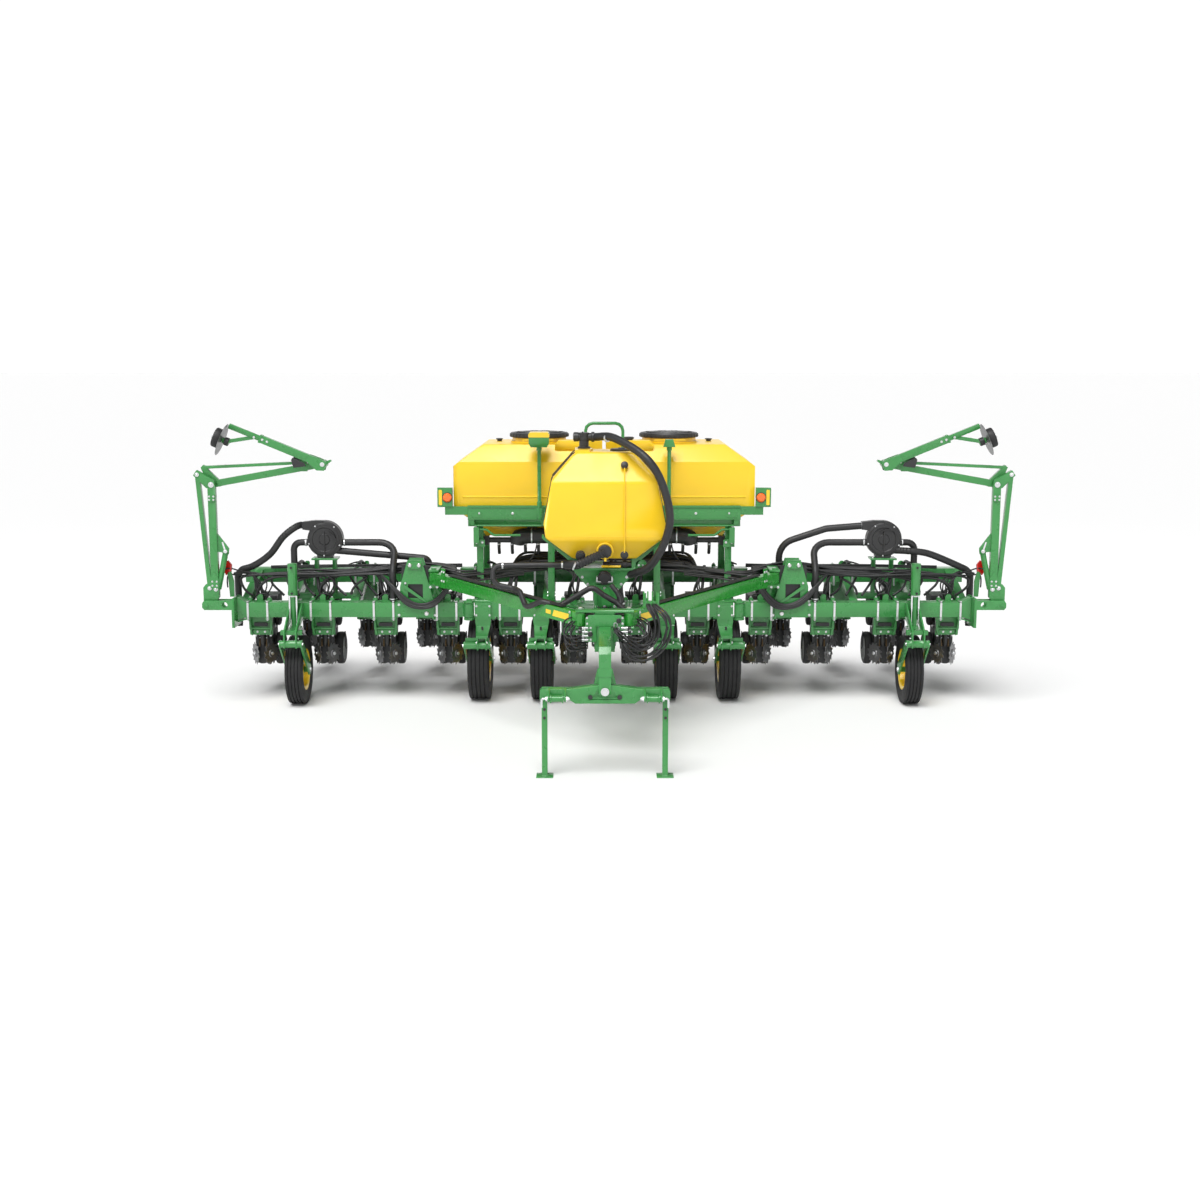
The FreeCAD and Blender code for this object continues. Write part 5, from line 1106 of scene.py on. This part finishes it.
def air_pipes(side, sign):
    """The four pipes of a fan with their clamps; a ribbed one drops past the outer rail."""
    hose, bands, clip = kits(side + "_wing", side + "_air_pipe", sign, (0, FAN_Y, 0), hose="s_ribbed",
                             steel="_clamps", green="_clips")
    x = FAN_X
    ahead = -95
    bar_y = 89 - FAN_Y
    drop = OUTER_RAIL + 103
    top, middle, low = FAN_Z + 165, FAN_Z - 43, FAN_Z - 140
    if sign < 0:
        outer = [(x + 230, 0, top), (x + 330, 0, top - 4), (x + 500, ahead + 30, 2000),
                 (x + 660, ahead, 1790), (x + 860, ahead, 1650), (drop - 60, ahead, 1600)]
        inner = [(x - 100, 0, low), (INNER_RAIL, 0, 1720)]
    else:
        outer = [(x + 100, 0, low), (x + 280, ahead, low + 4), (x + 520, ahead, 1800), (x + 760, ahead, 1710),
                 (drop - 60, ahead, 1600)]
        inner = [(x - 230, 0, top), (x - 700, 0, 2090), (INNER_RAIL, 0, 1900)]
    bar_x = 3.5 * ROW - 107
    hose.tube(smooth(outer) + [(drop, ahead, 1540), (drop, ahead, 900)], 41, 14, 90, 1.6, 20)
    hose.tube(inner + [(INNER_RAIL, 0, 1560), (INNER_RAIL + 10, -40, 1330)], 41, 14, 240, 1.6, 20)
    hose.tube([(x + 150, 0, middle), (5 * ROW, 0, middle), (5 * ROW, 0, 1290)], 41, 14, 90)
    hose.tube([(x - 150, 0, middle), (bar_x, 0, middle), (bar_x, bar_y, 1600), (bar_x, bar_y, 1240)], 41, 14,
              200, 1.6, 20)
    hose.done(side + "_air_hose")
    for place, axis in (((x - sign * 262, 0, top), OUT), ((x + 236, 0, middle), OUT),
                        ((x - 236, 0, middle), OUT), ((drop, ahead, 1560), UP), ((drop, ahead, 940), UP),
                        ((5 * ROW, 0, 1330), UP), ((bar_x, bar_y, 1270), UP)):
        bands.band(place, axis, 42, 46, 9, 20)
    clip.lathe((drop, ahead, 1190), UP, [(44, -16), (50, -16), (50, 16), (44, 16)], 20, closed=True)
    clip.block(OUTER_RAIL + 50, drop - 44, ahead - 18, ahead + 18, 1172, 1208)
    clip.block(bar_x - 52, bar_x + 52, bar_y - 29, bar_y + 29, BAR_HIGH, 1252)
    clip.block(INNER_RAIL - 60, INNER_RAIL + 60, -52, -44, 1500, 1640)
    done(bands, clip)


def bar_fittings(side, sign):
    """Flex hinge pins and limit link, hinge bolts, link pin, end plates and the lift cylinder's fittings."""
    green, steel, dark, red = parts = kits(side + "_wing", side + "_", sign, green="bar_fittings",
                                           steel="bar_bolts", casting="painted_flex_shade_and_lift_ports", red="transport_lock")
    flex_in, flex_out = 2.5 * ROW + 200, 3.5 * ROW - 212
    for x, y, z, r in ((flex_in + 120, -50, 1700, 24), (flex_out - 120, -50, 1700, 24),
                       (flex_in + 40, -25, 1110, 26), (flex_out - 60, -25, 1480, 15)):
        steel.lathe((x, y, z), AHEAD, [(r, 0), (r, 10), (r * 0.7, 16)], 18)
    green.block(flex_in + 8, flex_out - 8, -29, -24, 1076, 1224, 12)
    green.plate([(flex_in + 10, 1246), (flex_in + 50, 1246), (flex_out - 40, 1420), (flex_out - 40, 1470)],
                "y", -40, -24)
    # Black block painted as the shade in the gap of the flex hinge, above the bar.
    dark.block(flex_in + 14, flex_out - 14, 4, 14, 1250, 1690, 4)
    green.block(flex_in - 46, flex_in - 30, -34, 190, 1040, 1300)
    steel.bolt(AHEAD, 12, 9, *grid((flex_in - 60, flex_out + 26), -2, (1086, 1214)))
    wing_end = 5.5 * ROW + 134
    steel.bolt(OUT, 14, 10, *grid(wing_end + 140, -60, (990, 1050, 1230, 1280)))
    green.plate([(wing_end - 20, 1050), (wing_end + 108, 1015), (wing_end + 108, 1000),
                 (wing_end - 20, 1034)], "y", 0, BAR)
    pin_x, pin_y, pin_z = LINK_END
    steel.bolt(AHEAD, 11, 8, *grid((pin_x - 40, pin_x + 40), pin_y - 55, pin_z - 104))
    steel.lathe((pin_x, pin_y, pin_z + 104), UP, [(30, 0), (30, 14), (16, 20)], 18)
    lift = WING_WHEEL_X + 20
    steel.lathe((lift, -110, 1348), DOWN, [(40, 0), (40, 18), (31, 20)], 20)
    green.lathe((lift, -110, 1722), UP, [(57, 0), (57, 8), (30, 14)], 24)
    for z in (1380, 1690):
        dark.lathe((lift, -170, z), AHEAD, [(11, 0), (11, 22), (15, 24), (15, 34)], 10)
    red.plate([(4500, 1600), (4560, 1570), (4600, 1640), (4580, 1730), (4530, 1750), (4490, 1700)], "y", 20,
              52)
    green.plate([(4468, 1310), (4520, 1310), (4540, 1600), (4500, 1620), (4468, 1500)], "y", 10, 34)
    done(*parts)


# ---- markers ------------------------------------------------------------------------------------
BOOM_RISE, TIP_RISE = math.radians(10.3), math.radians(22.4)
POST_X, POST_TOP = 4660, 1384 + 1295
BOOM_X, BOOM_Z = POST_X - 1349 * math.cos(BOOM_RISE), POST_TOP + 1349 * math.sin(BOOM_RISE)
MARKER_Y = -110                 # of the disc, and of the cylinder of the post


def tip(out, down):
    """x and z of a point of the folded tip arm, from its pivot along the arm and square to it."""
    c, s = math.cos(TIP_RISE), math.sin(TIP_RISE)
    return BOOM_X + c * out + s * down, BOOM_Z + s * out - c * down


def pin_head(r, length):
    """Profile of a pin's head with its collar."""
    return [(r * 1.7, -2), (r * 1.7, 6), (r, 8), (r, length)]


def marker_post(side, sign):
    """Pins, plates and the lower cylinder's rod of the post."""
    steel, chrome, green = parts = kits(side + "_marker_post_arm", side + "_marker_", sign, steel="post_pins",
                                        chrome="rods", green="post_plates")
    face = -150
    for x, z, r in ((POST_X, POST_TOP, 20), (4722, 1439, 15), (4823, 2799, 15), (4650, 1424, 15),
                    (4520, 1884, 14)):
        steel.lathe((x, face, z), AHEAD, pin_head(r, 18) + [(r * 0.6, 22)], 16)
    chrome.rod((4526, MARKER_Y, 1876), (4560, MARKER_Y, 1990), 16, 14)
    green.lathe((4520, MARKER_Y, 1884), (0.22, 0, -1), [(40, 10), (40, 30), (36, 34)], 16)
    green.plate([(4620, 2480), (4700, 2480), (4700, 2560), (4620, 2560)], "y", face - 12, face)
    green.plate([(4612, 1440), (4708, 1440), (4708, 1560), (POST_X, 1640), (4612, 1560)], "y", face - 12,
                face)
    steel.bolt(AHEAD, 9, 7, *grid((POST_X - 26, POST_X + 26), face - 12, (2500, 2540, 1470, 1520)))
    done(*parts)


def marker_boom(side, sign):
    """Pins, cylinder rod and bumper of the boom, measured from its far end."""
    steel, chrome, dark = parts = kits(side + "_marker_boom_arm", side + "_marker_", sign,
                                       (BOOM_X, 0, BOOM_Z), steel="boom_pins", chrome="boom_rod",
                                       plastic="bumper")
    steel.lathe((4767 - BOOM_X, 6, 2876 - BOOM_Z), BACK, pin_head(15, 16), 16)
    steel.lathe((300, 6, 10), BACK, pin_head(12, 16), 16)
    steel.lathe((0, 6, 0), BACK, pin_head(20, 16), 16)
    steel.lathe((0, -165, 0), AHEAD, pin_head(20, 14), 16)
    chrome.rod((330, -29, 14), (520, -29, -10), 11, 12)
    dark.plate([(190, -34), (350, -48), (372, 62), (352, 84), (206, 22)], "y", -63, -8)
    dark.plate([(196, -22), (340, -40), (366, 54), (350, 78), (212, 18)], "y", -172, -154)
    done(*parts)


def marker_tip(side, sign):
    """Fittings of the tip arm, and the disc with its depth drum, which turn on its end."""
    steel, green, dark = parts = kits(side + "_marker_tip", side + "_marker_", sign, steel="tip_pins",
                                      green="tip_plates", casting="hub")
    along = Vector((math.cos(TIP_RISE), 0, math.sin(TIP_RISE)))
    for out, down in ((60, -24), (60, 26), (700, 0), (760, 0), (860, 10)):
        x, z = tip(out, down)
        steel.bolt(AHEAD, 11, 9, (x, -151, z))
    for y in (-172, -62):
        green.plate([tip(-40, -46), tip(60, -52), tip(190, -46), tip(196, 30), tip(40, 92), tip(-46, 62)],
                    "y", y, y + 12)
    green.plate([tip(-40, 0), tip(-84, -74), tip(-66, -86), tip(0, -30)], "y", -140, -96)
    green.plate([tip(775, -49), tip(800, -49), tip(800, 49), tip(775, 49)], "y", -154, -66)
    x, z = tip(1209, 185)
    blade = Vector((x, MARKER_Y, z))
    dark.lathe(blade - along * 60, along, [(44, -30), (50, -24), (50, 20), (38, 28)], 20)
    done(*parts)
    disc, drum, nuts = kits(side + "_marker_wheel", side + "_marker_", sign, blade, dark_steel="blade",
                            wheel_rubber="drum", steel="hub_bolts")
    disc.lathe((0, 0, 0), along, [(60, -4), (150, -3), (196, -1), (197, 0), (196, 1), (150, 4), (60, 4)], 48)
    disc.done(side + "_marker_disc")
    drum.lathe((0, 0, 0), along, [(90, 5), (112, 8), (118, 20), (118, 82), (112, 94), (90, 98), (60, 96),
                                  (30, 96)], 40)
    face = along * 96
    nuts.bolt(along, 10, 8, *around(face, along.cross(Vector(BACK)), BACK, 58, 5))
    nuts.lathe(face, along, [(30, 0), (30, 22), (22, 28)], 18)
    done(drum, nuts)


# ---- small hoses and harness --------------------------------------------------------------------
def beside(x, *points):
    """Route given from the middle of a unit."""
    return [(x + dx, y, z) for dx, y, z in points]


def rear_unit_hoses(thin, thick, x, z, *start):
    """Air hose and two control hoses of a unit of the rear rank."""
    thick.lay(beside(x, (60, 1060, z), (60, 1180, 1600), (40, 1340, 1540), (50, 1420, 1380), (60, 1660, 1190),
                     (8, 1800, UNIT_INLET)))
    for k in (0, 60):
        thin.lay(beside(x, *start, (k - 50, 1390, 1300), (k - 40, 1420, 1120), (k - 36, 1470, 975)), 16)


def harness(prefix, body, sign, middle, thick):
    """Control hoses, hydraulic hoses and air hoses of a section, by their radii."""
    return [Harness(f"{prefix}_{what}_hoses", body, radius, sign) for what, radius in
            (("control", 9), ("hydraulic", middle), ("unit_air", thick))]


def wing_hoses(side, sign):
    """Bundles along the wing, the loops at its hinge, and what each row unit gets from them."""
    parts = thin, middle, thick = harness(side, side + "_wing", sign, 15, 23)
    for k in range(7):
        y = 215 + 16 * k
        z = 1545 + 9 * (k % 3)
        end = 4300 - 380 * (k % 4)
        middle.lay([(1990, y, z + 60), (2300, y - 20, z + 80), (2600, y, z + 20), (2950, y, z + 10),
                    (3350, y + 10, z - 5), (end - 380, y, z - 20), (end - 160, y, z - 60),
                    (end - 60, y - 20, z - 180), (end - 70, 228, 1300)], 16)
    for k in range(9):
        y = 205 + 22 * k
        z = 1572 + 12 * (k % 4)
        end = 4420 - 190 * k
        middle.lay([(1800, y - 90, z + 30), (2100, y, z + 130 - 8 * k), (2500, y, z + 96 - 9 * k),
                    (3000, y + 20, z - 30), (3500, y, z - 20), (end, y, z - 20), (end + 40, y - 20, z - 110),
                    (end - 30, y - 16, z - 220), (end - 130, 240, 1290)], 34)
    for k in range(6):
        dz = 16 * k
        middle.lay([(1780, -60, 1560), (1905, -72, 1430 - dz), (2010, -78, 1290 - dz),
                    (2140, -82, 1222 - dz * 0.6), (2290, -78, 1232 - dz * 0.6), (2440, -70, 1330 - dz),
                    (2580, -40, 1480), (2700, 120, 1560)], 9)
    for x, face, *_ in unit_places(CENTRE_END, WING_END):
        if face:
            rear_unit_hoses(thin, thick, x, 1560, (220, 1060, 1545), (90, 1130, 1590), (-40, 1310, 1560))
            continue
        for k in range(5):
            dx = random.uniform(-110, 110)
            thin.lay(beside(x, (330, 250, 1560), (190, 235, 1590), (30 + dx, 215, 1560), (dx - 70, 210, 1440),
                            (dx * 0.5 - 40, 225, 1320), (24 * k - 50, 250, 1200), (20 * k - 40, 310, 985)),
                     18)
        thick.lay(beside(x, (170, 330, 1560), (96, 300, 1550), (60, 270, 1470), (66, 250, 1380),
                         (20, 240, 1300), (70, 300, 1230), (60, 540, 1150), (8, 700, UNIT_INLET)))
        thin.lay(beside(x, (-96, 226, 1245), (-110, 210, 1300), (-20, 200, 1330), (70, 206, 1306),
                        (100, 240, 1222)))
    for k in range(5):
        thin.lay([(1800, 1060, 1530 + 8 * k), (2400, 1056, 1522 + 8 * k), (3000, 1062, 1534 + 7 * k),
                  (3700, 1056, 1524 + 8 * k), (4230, 1060, 1512 + 6 * k)], 8)
    thin.lay([(4300, 240, 1560), (4420, 120, 1600), (4520, 20, 1690), (4590, -60, 1640), (4600, -96, 1560)])
    thin.lay([(4300, 250, 1545), (4440, 140, 1540), (4530, 60, 1600), (4560, 30, 1560), (4550, 36, 1420)])
    done(*parts)


def hinge_hoses(side, sign):
    """Hoses that cross the wing's fold hinge."""
    kit = Kit(side + "_hinge_hoses", "frame", "hose")
    for k in range(7):
        y = 96 + 22 * (k % 4)
        z = 1500 + 18 * k
        route = [(980, 300, z + 40), (1180, 240, z + 30), (1380, y + 60, z + 14), (1560, y, z),
                 (1700, y - 40, z - 6), (1850, y + 20, z + 20), (1990, 215 + 14 * k, z + 20)]
        kit.tube(flipped(strayed(route, 8), sign), 13, 8, 160)
    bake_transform(kit.made())


def centre_hoses():
    """Bundles across the centre and down the tongue, and what each row unit gets from them."""
    parts = thin, middle, thick = harness("centre", "frame", 1, 17, 20)
    for k in range(8):
        y = 330 + 40 * (k % 4)
        z = 1600 + 14 * k
        middle.lay([(-980, 300, z - 20), (-700, y, z), (-300, y + 30, z + 10), (0, y + 40, z + 6),
                    (300, y + 30, z + 10), (700, y, z), (980, 300, z - 20)], 14)
    for k in range(12):
        y = 300 + 62 * k
        z = 1650 + 22 * (k % 5)
        middle.lay([(-1150, 300 + 4 * k, 1540), (-1120, y - 60, z - 10), (-900, y - 20, z + 10), (-500, y, z),
                    (0, y, z + 10), (500, y, z), (900, y + 20, z + 10), (1120, y - 60, z - 10),
                    (1150, 300 + 4 * k, 1540)], 26)
    for x in (-60, -20, 20, 60):
        middle.lay([(x, 200, 1600), (x, -100, 1500), (x * 1.1, -500, 1450), (x, -1000, 1446),
                    (x, -1560, 1446), (x * 1.2, -2000, 1450), (x * 1.4, -2320, 1446)], 5)
    for _ in mirrored(thin):
        for k in range(3):
            thin.lay([(300 + 260 * k, 290, 1925), (330 + 260 * k, 250, 1800), (420 + 260 * k, 330, 1660),
                      (560 + 240 * k, 700, 1600), (620 + 240 * k, 1060, 1580)], 22)
    thin.flip = 1
    for x, face, *_ in unit_places(-CENTRE_END, CENTRE_END):
        if face:
            rear_unit_hoses(thin, thick, x, 1580, (160, 1060, 1560), (60, 1160, 1590), (-40, 1320, 1540))
            continue
        reach = 1 if x >= 0 else -1
        for k in range(6):
            thin.lay(beside(x, (reach * (120 - 50 * k), 360, 1600), (60, 300, 1560), (-30, 230, 1440),
                            (24 * k - 60, 226, 1320), (20 * k - 50, 250, 1200), (16 * k - 40, 310, 985)), 24)
        thick.lay(beside(x, (90, 380, 1640), (70, 330, 1520), (66, 260, 1390), (30, 240, 1290),
                         (70, 320, 1220), (60, 540, 1150), (8, 700, UNIT_INLET)))
    done(*parts)


def tongue_hoses():
    """Filling hose draped to the tongue, and the thin coupler hoses hung on both sides of its head."""
    kit = Kit("filling_hose", "frame", "hose")
    kit.tube([(-1235, -1545, 1760), (-1180, -1560, 1690), (-998, -1570, 1655), (-930, -1700, 1640),
              (-856, -1870, 1490), (-686, -1990, 1580), (-485, -2050, 1540), (-132, -2050, 1750),
              (-12, -2060, 1660), (130, -2080, 1580), (215, -2110, 1500), (225, -2130, 1440)], 30, 12, 90,
             1.5, 22)
    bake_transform(kit.made())
    kit = Kit("filling_hose_return", "tongue", "hose")
    kit.tube([(70, -2000, 1760), (130, -2030, 1690), (180, -2060, 1600), (150, -2100, 1510),
              (140, -2120, 1445)], 26, 12, 90, 1.5, 22)
    kit.done()
    couplers = Harness("coupler_hoses", "tongue", 9)
    for couplers.flip, least, most in ((1, 330, 470), (-1, 300, 400)):
        for k in range(5):
            x = 160 + 8 * k
            z = 1290 - 34 * k
            far = random.uniform(least, most)
            couplers.lay([(x, -2470, z), (x + 90, -2560, z + 10), (far, -2590, z - 40),
                          (far + 70, -2540, z + 80), (far + 30, -2440, z + 210),
                          (far - 150, -2300, 1460 + 10 * k), (120, -2150, 1470)])
    couplers.done()


# ---- the whole scene ----------------------------------------------------------------------------
camera()
hitch_loops()
dress_cad_nodes()
for side, sign in SIDES:
    for k, place in ((1, "inner"), (2, "outer")):
        road_wheel(f"{side}_{place}_centre", sign * k * ROW, CENTRE_AXLE[0], 500, 268)
    road_wheel(side + "_wing", sign * WING_WHEEL_X, WING_AXLE[0], 420, 215)
wheel_mount_detail()
row_units("centre_units", "frame", "centre_unit_wheels", -CENTRE_END, CENTRE_END)
row_units("left_units", "left_wing", "left_wing_unit_wheels", CENTRE_END, WING_END)
row_units("right_units", "right_wing", "right_wing_unit_wheels", -WING_END, -CENTRE_END)
for build in (tank_lids, tank_detail, frame_beam_detail, air_ducts, lamps_and_masts, front_tank,
              front_tank_fittings, front_tank_hoses, front_tank_cradle, hitch_detail, link_detail):
    build()
for side, sign in SIDES:
    for build in (fan, air_pipes, bar_fittings, marker_post, marker_boom, marker_tip, wing_hoses,
                  hinge_hoses):
        build(side, sign)
centre_hoses()
tongue_hoses()
stage()
sky_lamp("overhead", (0.2, 0.55, -1), 3.2, 0.7)
lamp("key", (-9, -16, 13), (0, 0, 1), (12, 9), 300)
lamp("fill", (11, -17, 9), (0, 0, 1.5), (10, 8), 150)
lamp("back", (0, 15, 10), (0, 0, 1), (16, 8), 200)
